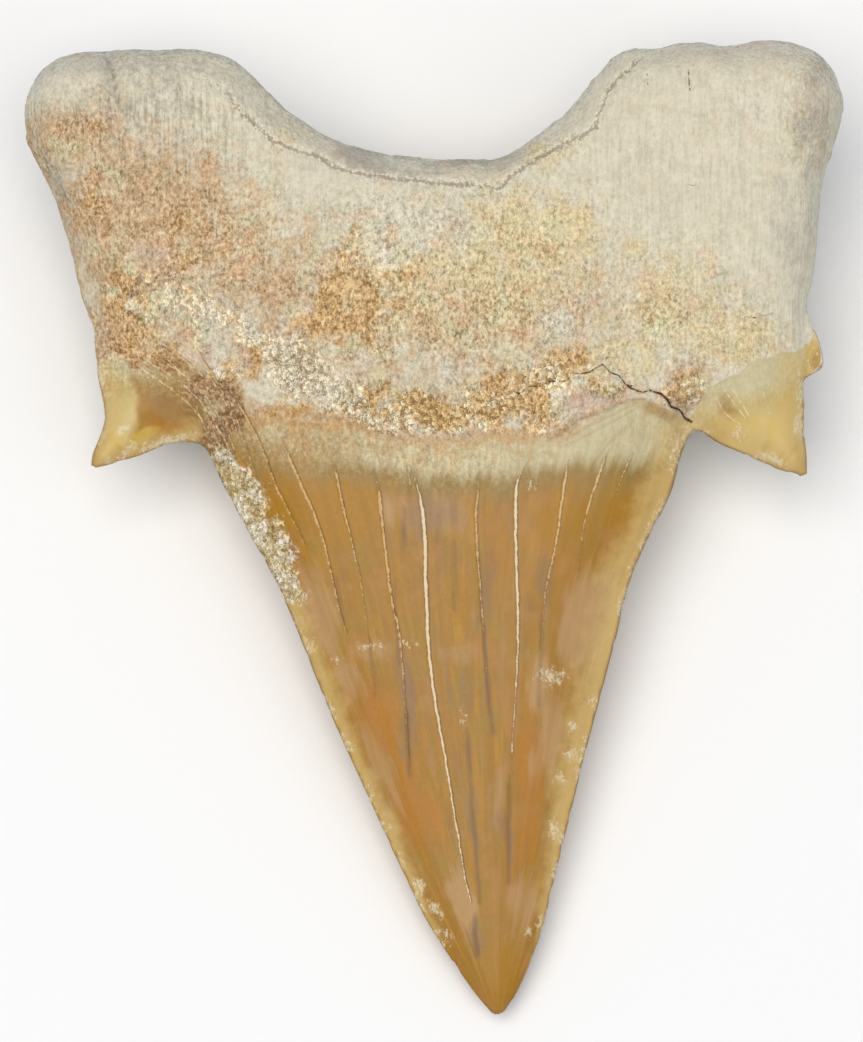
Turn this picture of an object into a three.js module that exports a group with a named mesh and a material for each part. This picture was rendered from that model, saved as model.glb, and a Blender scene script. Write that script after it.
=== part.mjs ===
// Fossil tooth of a large extinct mackerel shark: a broad two-lobed root, a tall triangular crown and
// a small side cusp at each shoulder of the crown. Root, crown and cusps grew as one, so it is one solid.
//
// Millimetres. The tooth is drawn in its own plane first: +X to the right, +Y from the tip towards the
// root, y = 0 at the foot of the crown, and +Z out of the flat outer (labial) face. The bulging inner
// (lingual) face looks the other way. At the end the tooth is laid down on that inner face, as it rests
// on a table, with the origin under the middle of its bounding box.
import * as THREE from "three";
import { mergeVertices } from "three/addons/utils/BufferGeometryUtils.js";

// ---- Driving dimensions ------------------------------------------------------------------------

// Depths at stations along the tooth, as [y, depth]. The rim is the outline seen from the side: the
// middle of the root's rounded edge, then the crown's cutting edge, a little below the outer face.
const RIM_BELOW_FACE = [[36, 4.4], [24, 4.2], [10, 3.6], [2, 2.9], [-10, 2.2], [-30, 1.2], [-45, 0.5]];
const FACE_OVER_RIM = [
  [36, 4.3], [24, 4.2], [11, 3.5], [5, 2.5], [0, 2.8], [-10, 2.4], [-30, 1.5], [-45, 0.7],
];
const BACK_UNDER_RIM = [
  [36, 5.6], [26, 9.5], [16, 13.2], [9, 12.0], [2, 9.4], [-12, 7.6], [-30, 5.2], [-45, 1.6],
];

// How far in from the rim each face takes to reach its full height, on the root and on the crown.
const ROUNDING = { face: { root: 3.4, crown: 8 }, back: { root: 8.5, crown: 15 } };
// The rim's shape: 0.5 is a round edge, 1 is a straight bevel.
const ROOT_EDGE = 0.5;
const CROWN_EDGE = { face: 0.95, back: 0.75 };

const LOBE_THINNING = 0.5; // share of the inner bulge that is gone at the ends of the lobes
const LOBE_KNOB = 0.9; // how far the ends of the lobes stand proud of the outer face
const GROOVE_DEPTH = 1.6; // shallow groove down the middle of the inner bulge
const GROOVE_WIDTH = 4.5;
const CUSP_GIRTH = { face: 0.95, back: 0.6 }; // thickness at a side cusp's foot, as a share of the root's
const POINT_TAPER = 0.7; // how a side cusp thins to its point: 1 evenly, less than 1 mostly at the end
const HALF_WIDTH = 34;

// Where one shape passes into the next. Shares count down the root, from its top edge to the foot.
const CROWN_BLEND = [0.5, 1]; // the crown's rounding and edge take over from the root's
const CUSP_BLEND = [0.45, 1]; // the side cusps' girth takes over from the root's
const CUSP_COLUMNS = [-5, 8]; // the same sideways, in grid columns beyond the side of the crown
const LOBE_END = { x: [20, 30], y: [20, 32] }; // the lobes' knobs rise between these, in mm
const BULGE_END = [-4, 10]; // the inner bulge and its groove fade out between these, in mm
const BULGE_FALL = 1.5; // how late, going outwards, the bulge thins: 1 evenly, more than 1 near the end

const LYING_TILT = THREE.MathUtils.degToRad(12.8); // the thick root holds its end of the face up
const WORN_FLAT = 0.25; // rubbed off where the tooth rests
const CLOSE = 1e-3; // points nearer than this are one

// ---- Outline -----------------------------------------------------------------------------------

// The root's upper edge, in three stretches: left lobe, the wide notch, right lobe.
const TOP_EDGE = [
  [
    [-32.9, 32.4], [-31.5, 33.8], [-28.8, 34.6], [-24.0, 34.9], [-19.6, 34.9], [-16.6, 34.0], [-14.8, 32.4],
  ],
  [
    [-14.8, 32.4], [-12.4, 30.0], [-9.4, 27.9], [-6.2, 26.6], [-2.6, 25.9], [2.1, 25.6], [5.4, 25.9],
    [8.5, 27.9], [11.1, 29.9], [12.7, 31.8],
  ],
  [
    [12.7, 31.8], [14.4, 33.8], [16.0, 34.9], [18.6, 35.0], [21.8, 35.5], [23.6, 35.0], [26.2, 35.5],
    [28.6, 35.6], [31.4, 34.8], [33.1, 33.0],
  ],
];
// Each side of the root, down from the lobe's corner to the shoulder where the side cusp starts. A
// third, tiny cusp stands on the right side just above the shoulder.
const LEFT_SIDE = [
  [-32.9, 32.4], [-33.9, 30.3], [-33.8, 27.4], [-32.7, 24.9], [-31.2, 22.0], [-30.0, 18.0], [-29.0, 14.0],
  [-28.2, 12.0], [-28.1, 10.1],
];
const RIGHT_SIDE = [
  [33.1, 33.0], [33.9, 30.2], [33.2, 26.9], [32.1, 23.9], [31.8, 21.0], [31.6, 17.6], [31.0, 14.0],
  [30.8, 12.9], [31.8, 11.1], [32.3, 9.2], [32.0, 8.0], [30.7, 7.6],
];
// The crown's foot: from the left shoulder to the nick beside the crown, across to the other nick, and
// up to the right shoulder.
const FOOT = [
  [[-28.1, 10.1], [-23.2, 7.4], [-18.9, 1.9]],
  [[-18.9, 1.9], [21.5, 3.3]],
  [[21.5, 3.3], [25.6, 6.2], [30.7, 7.6]],
];
// The crown's cutting edges, from each nick to the tip, and the rounded tip between them.
const LEFT_EDGE = [
  [-18.9, 1.9], [-18.0, 0.0], [-15.9, -4.1], [-13.1, -9.1], [-11.0, -14.0], [-8.3, -20.6], [-5.3, -27.2],
  [-2.2, -33.8], [-0.6, -37.1], [1.5, -40.4], [3.4, -43.1], [4.2, -44.1],
];
const RIGHT_EDGE = [
  [21.5, 3.3], [20.5, 1.6], [20.2, 0.0], [19.3, -2.5], [17.6, -5.8], [16.2, -9.1], [15.0, -14.0],
  [13.2, -20.6], [11.5, -27.2], [9.9, -33.8], [9.1, -37.1], [8.0, -40.4], [6.7, -43.2], [6.2, -44.1],
];
const TIP = [[4.2, -44.1], [4.7, -44.6], [5.2, -44.8], [5.7, -44.6], [6.2, -44.1]];
// The side cusps' edges, from shoulder and nick to their points.
const LEFT_CUSP = {
  outer: [[-28.1, 10.1], [-27.6, 7.1], [-27.2, 4.6], [-27.5, 3.1], [-28.2, 1.2], [-28.3, 0.4]],
  inner: [[-18.9, 1.9], [-20.1, 2.3], [-22.1, 2.1], [-24.3, 1.2], [-26.3, 0.6], [-27.9, 0.2]],
};
const RIGHT_CUSP = {
  inner: [[21.5, 3.3], [23.8, 2.1], [25.9, 1.2], [28.1, 0.2], [30.3, -0.5]],
  outer: [[30.7, 7.6], [30.6, 5.2], [30.6, 3.1], [30.8, 1.2], [30.8, -0.3]],
};

// ---- Mesh density ------------------------------------------------------------------------------

const LOBE_COLUMNS = 13; // across each lobe, and so across each side cusp
const CROWN_COLUMNS = 22; // across the notch, and so across the crown
const ROOT_ROWS = 20;
const CROWN_ROWS = 27;
const CUSP_ROWS = 8;
const COLUMNS = LOBE_COLUMNS + CROWN_COLUMNS + LOBE_COLUMNS;
const EASING = 4; // times that the heights are evened out between neighbours

const { clamp, lerp, smoothstep } = THREE.MathUtils;

// ---- Curves ------------------------------------------------------------------------------------

const curveThrough = (points) =>
  points.length > 2 ?
    new THREE.SplineCurve(points.map(([x, y]) => new THREE.Vector2(x, y)))
  : new THREE.LineCurve(...points.map(([x, y]) => new THREE.Vector2(x, y)));

const pointsAlong = (points, count, easing = (t) => t) => {
  const curve = curveThrough(points);
  return Array.from({ length: count + 1 }, (_, i) => curve.getPointAt(easing(i / count)));
};

// Steps that start small, for the rounded edges of the root and the points of crown and cusps.
const finerAtStart = (t) => lerp(t, t * t, 0.4);
const finerAtEnd = (t) => 1 - finerAtStart(1 - t);

// Three stretches end to end, each with its own number of columns. The lobes' outer ends are finer.
function acrossTooth([left, middle, right]) {
  return [
    ...pointsAlong(left, LOBE_COLUMNS, finerAtStart),
    ...pointsAlong(middle, CROWN_COLUMNS).slice(1),
    ...pointsAlong(right, LOBE_COLUMNS, finerAtEnd).slice(1),
  ];
}

// A smooth curve through [y, value] stations, listed from high y to low.
function alongTooth(stations) {
  const slopeAt = (i) => {
    const [before, after] = [stations[Math.max(i - 1, 0)], stations[Math.min(i + 1, stations.length - 1)]];
    return (after[1] - before[1]) / (after[0] - before[0]);
  };
  return (y) => {
    const inside = clamp(y, stations.at(-1)[0], stations[0][0]);
    const i = Math.max(stations.findIndex(([station]) => station <= inside) - 1, 0);
    const [[y0, v0], [y1, v1]] = [stations[i], stations[i + 1]];
    const span = y1 - y0;
    const t = (inside - y0) / span;
    const [bend0, bend1] = [slopeAt(i) * span, slopeAt(i + 1) * span];
    return v0 + t * (bend0 + t * (3 * (v1 - v0) - 2 * bend0 - bend1 + t * (2 * (v0 - v1) + bend0 + bend1)));
  };
}

// ---- The tooth's plane as a mesh ---------------------------------------------------------------

// Every point of the mesh once, with what the thickness is worked out from.
const points = [];
const addPoint = (place, facts) => points.push({ place, ...facts, neighbours: new Set() }) - 1;

// A grid of points between four edges: first and last are its end rows, left and right its sides. Its
// rows are lists of indices into points. Where firstRow is given, the grid grows on from that row.
function fillGrid({ first, last, left, right, firstRow, factsAt }) {
  const [rows, columns] = [left.length - 1, first.length - 1];
  const grid = [];
  for (let row = 0; row <= rows; row++) {
    if (row === 0 && firstRow) {
      grid.push(firstRow);
      continue;
    }
    const down = row / rows;
    const leftPull = left[row].clone().sub(left[0].clone().lerp(left[rows], down));
    const rightPull = right[row].clone().sub(right[0].clone().lerp(right[rows], down));
    const width = left[row].distanceTo(right[row]);
    grid.push(first.map((start, column) => {
      const across = column / columns;
      const place = start.clone().lerp(last[column], down).add(leftPull.clone().lerp(rightPull, across));
      return addPoint(place, factsAt({ row, column, down, width }));
    }));
  }
  for (let row = 0; row <= rows; row++) {
    for (let column = 0; column <= columns; column++) {
      const beside = [grid[row][column + 1], grid[row + 1]?.[column]].filter((i) => i !== undefined);
      for (const other of beside) {
        points[grid[row][column]].neighbours.add(other);
        points[other].neighbours.add(grid[row][column]);
      }
    }
  }
  return grid;
}

const foot = acrossTooth(FOOT);
const root = fillGrid({
  first: acrossTooth(TOP_EDGE),
  last: foot,
  left: pointsAlong(LEFT_SIDE, ROOT_ROWS, finerAtStart),
  right: pointsAlong(RIGHT_SIDE, ROOT_ROWS, finerAtStart),
  factsAt: ({ row, column, down }) => ({
    rim: row === 0 || column === 0 || column === COLUMNS || (row === ROOT_ROWS && isNick(column)),
    crown: smoothstep(down, ...CROWN_BLEND),
    overCusp: smoothstep(down, ...CUSP_BLEND) * besideCrown(column),
    halfWidth: HALF_WIDTH,
    out: 0,
  }),
});

function isNick(column) {
  return column === LOBE_COLUMNS || column === LOBE_COLUMNS + CROWN_COLUMNS;
}

// 0 over the crown and 1 over the side cusps.
function besideCrown(column) {
  const fromMiddle = Math.abs(column - COLUMNS / 2) - CROWN_COLUMNS / 2;
  return smoothstep(fromMiddle, ...CUSP_COLUMNS);
}

// A crown or cusp that grows on from a stretch of the root's last row to its end. The end is a straight
// stretch between the two edges, unless another is given.
function growFrom(firstColumn, columns, rows, leftEdge, rightEdge, isCusp, end) {
  const firstRow = root[ROOT_ROWS].slice(firstColumn, firstColumn + columns + 1);
  const left = pointsAlong(leftEdge, rows, finerAtEnd);
  const right = pointsAlong(rightEdge, rows, finerAtEnd);
  return fillGrid({
    first: foot.slice(firstColumn, firstColumn + columns + 1),
    last: pointsAlong(end ?? [left[rows].toArray(), right[rows].toArray()], columns),
    left,
    right,
    firstRow,
    factsAt: ({ row, column, down, width }) => ({
      rim: row === rows || column === 0 || column === columns,
      crown: 1,
      overCusp: isCusp ? 1 : 0,
      halfWidth: width / 2,
      out: isCusp ? down : 0,
    }),
  });
}

const crown = growFrom(LOBE_COLUMNS, CROWN_COLUMNS, CROWN_ROWS, LEFT_EDGE, RIGHT_EDGE, false, TIP);
const leftCusp = growFrom(0, LOBE_COLUMNS, CUSP_ROWS, LEFT_CUSP.outer, LEFT_CUSP.inner, true);
const rightCusp =
  growFrom(COLUMNS - LOBE_COLUMNS, LOBE_COLUMNS, CUSP_ROWS, RIGHT_CUSP.inner, RIGHT_CUSP.outer, true);
const grids = [root, crown, leftCusp, rightCusp];

// ---- Thickness ---------------------------------------------------------------------------------

// The tooth's outline as short straight stretches: neighbouring rim points.
const flat = ({ x, y }) => new THREE.Vector3(x, y, 0);
const outline = points.flatMap(({ place, rim, neighbours }, i) => {
  const onwards = rim ? [...neighbours].filter((j) => j > i && points[j].rim) : [];
  return onwards.map((j) => new THREE.Line3(flat(place), flat(points[j].place)));
});

const nearest = new THREE.Vector3();
function distanceToRim(place) {
  const from = flat(place);
  return Math.min(...outline.map((line) => line.closestPointToPoint(from, true, nearest).distanceTo(from)));
}

// Values evened out between neighbouring points. Those at the rim stay.
function eased(values, times) {
  let now = values;
  for (let pass = 0; pass < times; pass++) {
    now = now.map((value, i) => {
      const { rim, neighbours } = points[i];
      if (rim) return value;
      const around = [...neighbours].reduce((sum, j) => sum + now[j], 0) / neighbours.size;
      return (value + around) / 2;
    });
  }
  return now;
}

const rimBelowFace = alongTooth(RIM_BELOW_FACE);
const faceOverRim = alongTooth(FACE_OVER_RIM);
const backUnderRim = alongTooth(BACK_UNDER_RIM);

// Each face's full height from the rim's level, away from the rim.
const fullHeight = {
  face({ x, y }) {
    const lobe = smoothstep(Math.abs(x), ...LOBE_END.x) * smoothstep(y, ...LOBE_END.y);
    return faceOverRim(y) + LOBE_KNOB * lobe;
  },
  back({ x, y }) {
    const inRoot = smoothstep(y, ...BULGE_END);
    const outwards = (Math.abs(x) / HALF_WIDTH) ** BULGE_FALL;
    const groove = GROOVE_DEPTH * Math.exp(-((x / GROOVE_WIDTH) ** 2)) * inRoot;
    return -backUnderRim(y) * (1 - LOBE_THINNING * outwards * inRoot) + groove;
  },
};

const rimDistance = points.map(({ place }) => distanceToRim(place));

function heights(side) {
  const radius = eased(
    points.map((point) => {
      const reach = lerp(ROUNDING[side].root, ROUNDING[side].crown, point.crown);
      return Math.min(reach, point.halfWidth);
    }),
    EASING,
  );
  const rise = points.map((point, i) => {
    const t = clamp(rimDistance[i] / Math.max(radius[i], CLOSE), 0, 1);
    const edge = lerp(ROOT_EDGE, CROWN_EDGE[side], point.crown);
    const girth = lerp(1, CUSP_GIRTH[side], point.overCusp) * (1 - point.out) ** POINT_TAPER;
    return fullHeight[side](point.place) * girth * (1 - (1 - t) ** 2) ** edge;
  });
  const even = eased(rise, EASING);
  return points.map(({ place }, i) => even[i] - rimBelowFace(place.y));
}

// ---- Solid -------------------------------------------------------------------------------------

const corners = [];

// Two triangles for each cell of the grid, along the cell's shorter diagonal. turned faces them back.
function addSheet(grid, spots, turned) {
  for (let row = 0; row + 1 < grid.length; row++) {
    for (let column = 0; column + 1 < grid[row].length; column++) {
      const [a, b] = [spots[grid[row][column]], spots[grid[row + 1][column]]];
      const [d, c] = [spots[grid[row][column + 1]], spots[grid[row + 1][column + 1]]];
      const halves = a.distanceTo(c) <= b.distanceTo(d) ? [[a, b, c], [a, c, d]] : [[a, b, d], [b, c, d]];
      for (const half of halves) corners.push(...(turned ? half.reverse() : half));
    }
  }
}

for (const side of ["face", "back"]) {
  const height = heights(side);
  const spots = points.map(({ place }, i) => new THREE.Vector3(place.x, place.y, height[i]));
  for (const grid of grids) addSheet(grid, spots, side === "back");
}

// Laid down on the inner face, and rubbed flat where it touches the table.
const geometry = new THREE.BufferGeometry().setFromPoints(corners);
geometry.rotateX(LYING_TILT);
geometry.computeBoundingBox();
const { min, max } = geometry.boundingBox;
geometry.translate(-(min.x + max.x) / 2, -(min.y + max.y) / 2, -min.z - WORN_FLAT);
const position = geometry.getAttribute("position");
for (let i = 0; i < position.count; i++) {
  position.setZ(i, Math.max(position.getZ(i), 0));
}
const welded = mergeVertices(geometry, CLOSE);
welded.computeVertexNormals();

const bone = new THREE.MeshStandardMaterial({ color: 0xcdb98e, roughness: 0.7, metalness: 0 });
const tooth = new THREE.Mesh(welded, bone);
tooth.name = "tooth";

const group = new THREE.Group();
group.add(tooth);

export default group;
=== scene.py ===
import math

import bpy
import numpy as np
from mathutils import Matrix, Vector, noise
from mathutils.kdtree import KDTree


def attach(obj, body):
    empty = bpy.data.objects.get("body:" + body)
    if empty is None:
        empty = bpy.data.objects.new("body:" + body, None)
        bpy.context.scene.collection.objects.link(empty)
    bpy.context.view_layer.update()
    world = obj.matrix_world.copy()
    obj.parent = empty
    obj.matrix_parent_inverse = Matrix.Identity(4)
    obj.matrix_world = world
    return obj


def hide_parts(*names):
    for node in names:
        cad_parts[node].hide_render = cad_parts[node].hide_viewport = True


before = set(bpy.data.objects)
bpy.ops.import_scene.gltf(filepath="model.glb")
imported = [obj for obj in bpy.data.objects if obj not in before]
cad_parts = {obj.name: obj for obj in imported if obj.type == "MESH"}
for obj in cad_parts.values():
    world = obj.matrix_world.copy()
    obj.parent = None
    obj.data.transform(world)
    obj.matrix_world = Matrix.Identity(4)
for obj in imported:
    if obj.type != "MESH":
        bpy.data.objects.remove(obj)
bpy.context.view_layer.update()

# %% [markdown]
# # A fossil shark tooth
# The object is one tooth of a large extinct mackerel shark, lying on the bulging inner face of its root
# and crown, with its flat outer face up. It was buried in phosphate sand: the root is cream bone stained
# tan and gold-brown, and the crown is a skin of amber enamel crossed by fine pale cracks.
#
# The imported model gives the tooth's real size and place. Blender's unit is the metre, but a tooth is
# easier to think of in millimetres, so lengths are written as a number times `MM`.

MM = 0.001

# %% [markdown]
# ## The tooth's own plane
# The tooth lies tilted, because its root is thicker than its crown. Relief and stains belong to the flat
# outer face, so they are placed in the tooth's own plane: x to the right, y from the tip towards the root
# with 0 at the foot of the crown, z out of the face. One matrix leads from that plane to the frame. Its
# turn is the tilt of the face. Its shift is found from the point that is easiest to find in the frame,
# the crown's tip, which reaches lowest along y.

# %% From the tooth's plane to the frame
LYING_TILT = math.radians(12.8)
TIP_IN_PLANE = Vector((5.2, -44.8, -0.51)) * MM

cad_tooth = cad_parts["tooth"]
tip = min((vertex.co for vertex in cad_tooth.data.vertices), key=lambda point: point.y)
tilt = Matrix.Rotation(LYING_TILT, 4, "X")
to_frame = Matrix.Translation(tip - tilt @ TIP_IN_PLANE) @ tilt
to_plane = to_frame.inverted()
print("origin of the tooth's plane, mm:", [round(v / MM, 2) for v in to_frame.translation])

# %% [markdown]
# ## Camera
# The tooth is looked at square on to its outer face. A long lens from far away keeps the lobes and the
# tip, which lie at different depths, at one scale.

# %% Camera
CAMERA_DISTANCE = 700 * MM
VIEW_CENTRE = Vector((-0.2, -4.2, -2.5)) * MM
VIEW_HEIGHT = 86.0 * MM
SENSOR_WIDTH = 36  # mm, as a camera's sensor is always given
FARTHEST_SEEN = 10  # m

camera_data = bpy.data.cameras.new("camera")
camera_data.sensor_width = SENSOR_WIDTH
camera_data.lens = SENSOR_WIDTH * CAMERA_DISTANCE / VIEW_HEIGHT
camera_data.clip_end = FARTHEST_SEEN
camera = bpy.data.objects.new("camera", camera_data)
bpy.context.scene.collection.objects.link(camera)
camera.matrix_world = to_frame @ Matrix.Translation(VIEW_CENTRE + Vector((0, 0, CAMERA_DISTANCE)))
bpy.context.scene.camera = camera
print("lens, mm:", round(camera_data.lens))

# %% [markdown]
# ## The tooth's body
# The CAD solid is a mesh of loose triangles that gives the tooth's true outline and depth. A copy of it
# is turned into a surface that can be worked: its doubled corners are merged, its triangles are paired
# back into four-sided faces, and a Subdivision Surface rounds them. The CAD mesh itself stays as it is.
#
# The rim is where faces that look up meet faces that look down. Its edges are marked as a seam first, so
# that no pair of triangles is joined across it.
#
# A subdivision surface rounds everything, and a shark's tooth is sharp along its crown and cusps, so the
# cutting edges get a crease first. They are easy to find: they are where outer and inner face meet at an
# angle, below the root's round rim.

# %% Copy the CAD mesh
tooth = bpy.data.objects.new("fossil_tooth", cad_tooth.data.copy())
tooth.data.materials.clear()
bpy.context.scene.collection.objects.link(tooth)
tooth.data.transform(to_plane)
tooth.data.transform(Matrix.Scale(1 / MM, 4))
print("loose triangles:", len(tooth.data.polygons))

# %% Merge the corners
MERGE_WITHIN = 0.001  # mm


def select_only(piece):
    for other in bpy.context.selected_objects:
        other.select_set(False)
    piece.select_set(True)
    bpy.context.view_layer.objects.active = piece


def edit(piece):
    select_only(piece)
    bpy.ops.object.mode_set(mode="EDIT")
    bpy.ops.mesh.select_all(action="SELECT")


def finish_edit():
    bpy.ops.object.mode_set(mode="OBJECT")


edit(tooth)
bpy.ops.mesh.remove_doubles(threshold=MERGE_WITHIN)
finish_edit()
print("corners left:", len(tooth.data.vertices))

# %% Pair the triangles
def edit_only(piece, kind, chosen):
    """Opens edit mode with only some vertices, edges or faces selected. chosen is one yes or no for each."""
    edit(piece)
    bpy.ops.mesh.select_mode(type=kind)
    bpy.ops.mesh.select_all(action="DESELECT")
    finish_edit()
    parts = {"VERT": piece.data.vertices, "EDGE": piece.data.edges, "FACE": piece.data.polygons}
    parts[kind].foreach_set("select", np.array(chosen))
    bpy.ops.object.mode_set(mode="EDIT")


def rim_edges(mesh):
    """The edges that a face looking up shares with a face looking down, as pairs of vertices."""
    found = {}
    for face in mesh.polygons:
        for edge in face.edge_keys:
            found.setdefault(edge, set()).add(face.normal.z > 0)
    return {edge for edge, sides in found.items() if len(sides) == 2}


rim = rim_edges(tooth.data)
edit_only(tooth, "EDGE", [edge.key in rim for edge in tooth.data.edges])
bpy.ops.mesh.mark_seam()
bpy.ops.mesh.select_all(action="SELECT")
bpy.ops.mesh.tris_convert_to_quads(face_threshold=math.pi, shape_threshold=math.pi, seam=True)
finish_edit()
three_sided = sum(len(face.vertices) == 3 for face in tooth.data.polygons)
print("faces:", len(tooth.data.polygons), "of them three-sided:", three_sided)

# %% [markdown]
# A corner of the solid where lobe, crown and cusp run together is stepped. Before it is subdivided, the
# feet of the side cusps are eased with the Smooth Vertices tool, as drifting sand has eased the real
# ones. The rim is left out, so the outline stays.

# %% Ease the feet of the side cusps
CUSP_FEET = [(-22.5, 6.5, 7.0), (26.0, 7.5, 7.5)]  # x, y and radius, mm
EASING, EASING_ROUNDS = 0.5, 10


def rim_of(mesh):
    """The vertices of the rim."""
    return {vertex for edge in rim_edges(mesh) for vertex in edge}


def at_a_foot(place):
    return any(math.hypot(place.x - x, place.y - y) < radius for x, y, radius in CUSP_FEET)


rim = rim_of(tooth.data)
eased = [vertex.index not in rim and at_a_foot(vertex.co) for vertex in tooth.data.vertices]
edit_only(tooth, "VERT", eased)
bpy.ops.mesh.vertices_smooth(factor=EASING, repeat=EASING_ROUNDS)
finish_edit()
print("eased vertices:", sum(eased))

# %% Crease the cutting edges
CUTTING_EDGE_TOP = 9.0  # mm, above it the rim belongs to the root
CUSP_CORNER = (30.0, 12.5)  # x and y, mm: right of and below this the rim is the third cusp's edge
CUTTING_CREASE = 0.8


def is_cutting_edge(place):
    on_third_cusp = place.x > CUSP_CORNER[0] and place.y < CUSP_CORNER[1]
    return place.y < CUTTING_EDGE_TOP or on_third_cusp


corners = tooth.data.vertices
rim = rim_edges(tooth.data)
cutting = [
    edge.key in rim and all(is_cutting_edge(corners[corner].co) for corner in edge.key)
    for edge in tooth.data.edges
]
edit_only(tooth, "EDGE", cutting)
bpy.ops.transform.edge_crease(value=CUTTING_CREASE)
finish_edit()
print("creased edges:", sum(cutting))

# %% [markdown]
# A rounded surface lies inside its cage, so the lobes would come out smaller than the real ones. The cage
# is therefore let out first: the modifier is tried, each corner is moved by as much as the surface falls
# short of it, and after a few rounds the modifier is applied. Its first points are the cage's own corners.

# %% Let the cage out and subdivide
ROUNDING_LEVELS = 2
FITTING_ROUNDS = 3
FITTING_SHARE = 0.8  # of the gap that one round closes


def read(mesh, what="co"):
    """Places or normals of all vertices, one row each."""
    values = np.empty(3 * len(mesh.vertices), np.float32)
    mesh.vertices.foreach_get(what, values)
    return values.reshape(-1, 3).astype(float)


def write(mesh, places):
    mesh.vertices.foreach_set("co", places.astype(np.float32).ravel())
    mesh.update()


rounding = tooth.modifiers.new("rounding", "SUBSURF")
rounding.levels = rounding.render_levels = ROUNDING_LEVELS
wanted = read(tooth.data)
cage = wanted.copy()
for _ in range(FITTING_ROUNDS):
    rounded = tooth.evaluated_get(bpy.context.evaluated_depsgraph_get()).data
    short = wanted - read(rounded)[: len(wanted)]
    print("falls short by up to, mm:", round(float(np.linalg.norm(short, axis=1).max()), 2))
    cage += FITTING_SHARE * short
    write(tooth.data, cage)
select_only(tooth)
bpy.ops.object.modifier_apply(modifier=rounding.name)
print("faces after rounding:", len(tooth.data.polygons))

# %% [markdown]
# ## Where things are on the tooth
# From here on the tooth is worked point by point, the way a sculptor works a surface with brushes: each
# stain, crust or crack is a field that gives every vertex a number, mostly from 0 to 1. The same field
# then moves the surface and, stored as an attribute, colours it, so relief and colour agree.
#
# The helpers give noise at the vertices, soft steps, soft round patches, the distance from a line and the
# height above one.

# %% Fields over the vertices
SEED_SHIFT = 31.7  # each seed reads the noise at another place, this far from the last
PATCH_FADE = (1.25, 0.15)  # in a patch's radii: where it ends and where it is full


def step(values, start, end):
    """0 before start, 1 after end, smooth in between. start may be the larger."""
    t = np.clip((values - start) / (end - start), 0, 1)
    return t * t * (3 - 2 * t)


def lumps(places, size, octaves=3, stretch=(1, 1, 1), seed=0):
    """Fractal noise, roughly -1 to 1. size is the size of the largest lumps, in mm."""
    shifted = places / (np.array(stretch) * size) + SEED_SHIFT * seed
    return np.array([noise.fractal(place, 1.0, 2.0, octaves) for place in shifted])


def patches(places, spots):
    """Soft round patches. A spot is x, y, its two radii, its turn in degrees and its strength."""
    total = np.zeros(len(places))
    for x, y, wide, high, turn, strength in spots:
        right = np.array([math.cos(math.radians(turn)), math.sin(math.radians(turn))])
        up = np.array([-right[1], right[0]])
        offset = places[:, :2] - (x, y)
        reach = np.hypot(offset @ right / wide, offset @ up / high)
        total = np.maximum(total, strength * step(reach, *PATCH_FADE))
    return total


def from_path(places, path):
    """Each point's distance from a line of straight stretches, and how far along it that is, 0 to 1."""
    path = np.array(path)
    lengths = np.linalg.norm(np.diff(path, axis=0), axis=1)
    starts = np.concatenate([[0], np.cumsum(lengths)])
    nearest = np.full(len(places), np.inf)
    share = np.zeros(len(places))
    for a, b, length, start in zip(path[:-1], path[1:], lengths, starts):
        t = np.clip((places[:, :2] - a) @ (b - a) / length**2, 0, 1)
        gap = np.linalg.norm(places[:, :2] - a - t[:, None] * (b - a), axis=1)
        closer = gap < nearest
        nearest[closer] = gap[closer]
        share[closer] = (start + t[closer] * length) / starts[-1]
    return nearest, share


def above(places, line):
    """How far each place lies above a line that runs from left to right."""
    xs, ys = zip(*line)
    return places[:, 1] - np.interp(places[:, 0], xs, ys)


print("a soft step:", step(np.linspace(0, 1, 5), 0, 1).round(2))

# %% [markdown]
# ## Lines on the outer face
# Fine cracks run down the crown from its foot and lean together towards the tip, where the brittle
# enamel split along its grain. They are filled with pale sand. A jagged open crack crosses the root
# above the right corner of the crown, and a pitted line follows the notch between the lobes, where the
# flat face meets the rounded rim. Each is a line of points in the tooth's plane, with its width.
#
# Hairlines run in fans. Only one line of a fan is listed, and its hairs are moved aside from it, most in
# the middle. Pale cracks, streaks and hairs become curves, by cutting their corners twice. Open cracks
# stay jagged.

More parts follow.
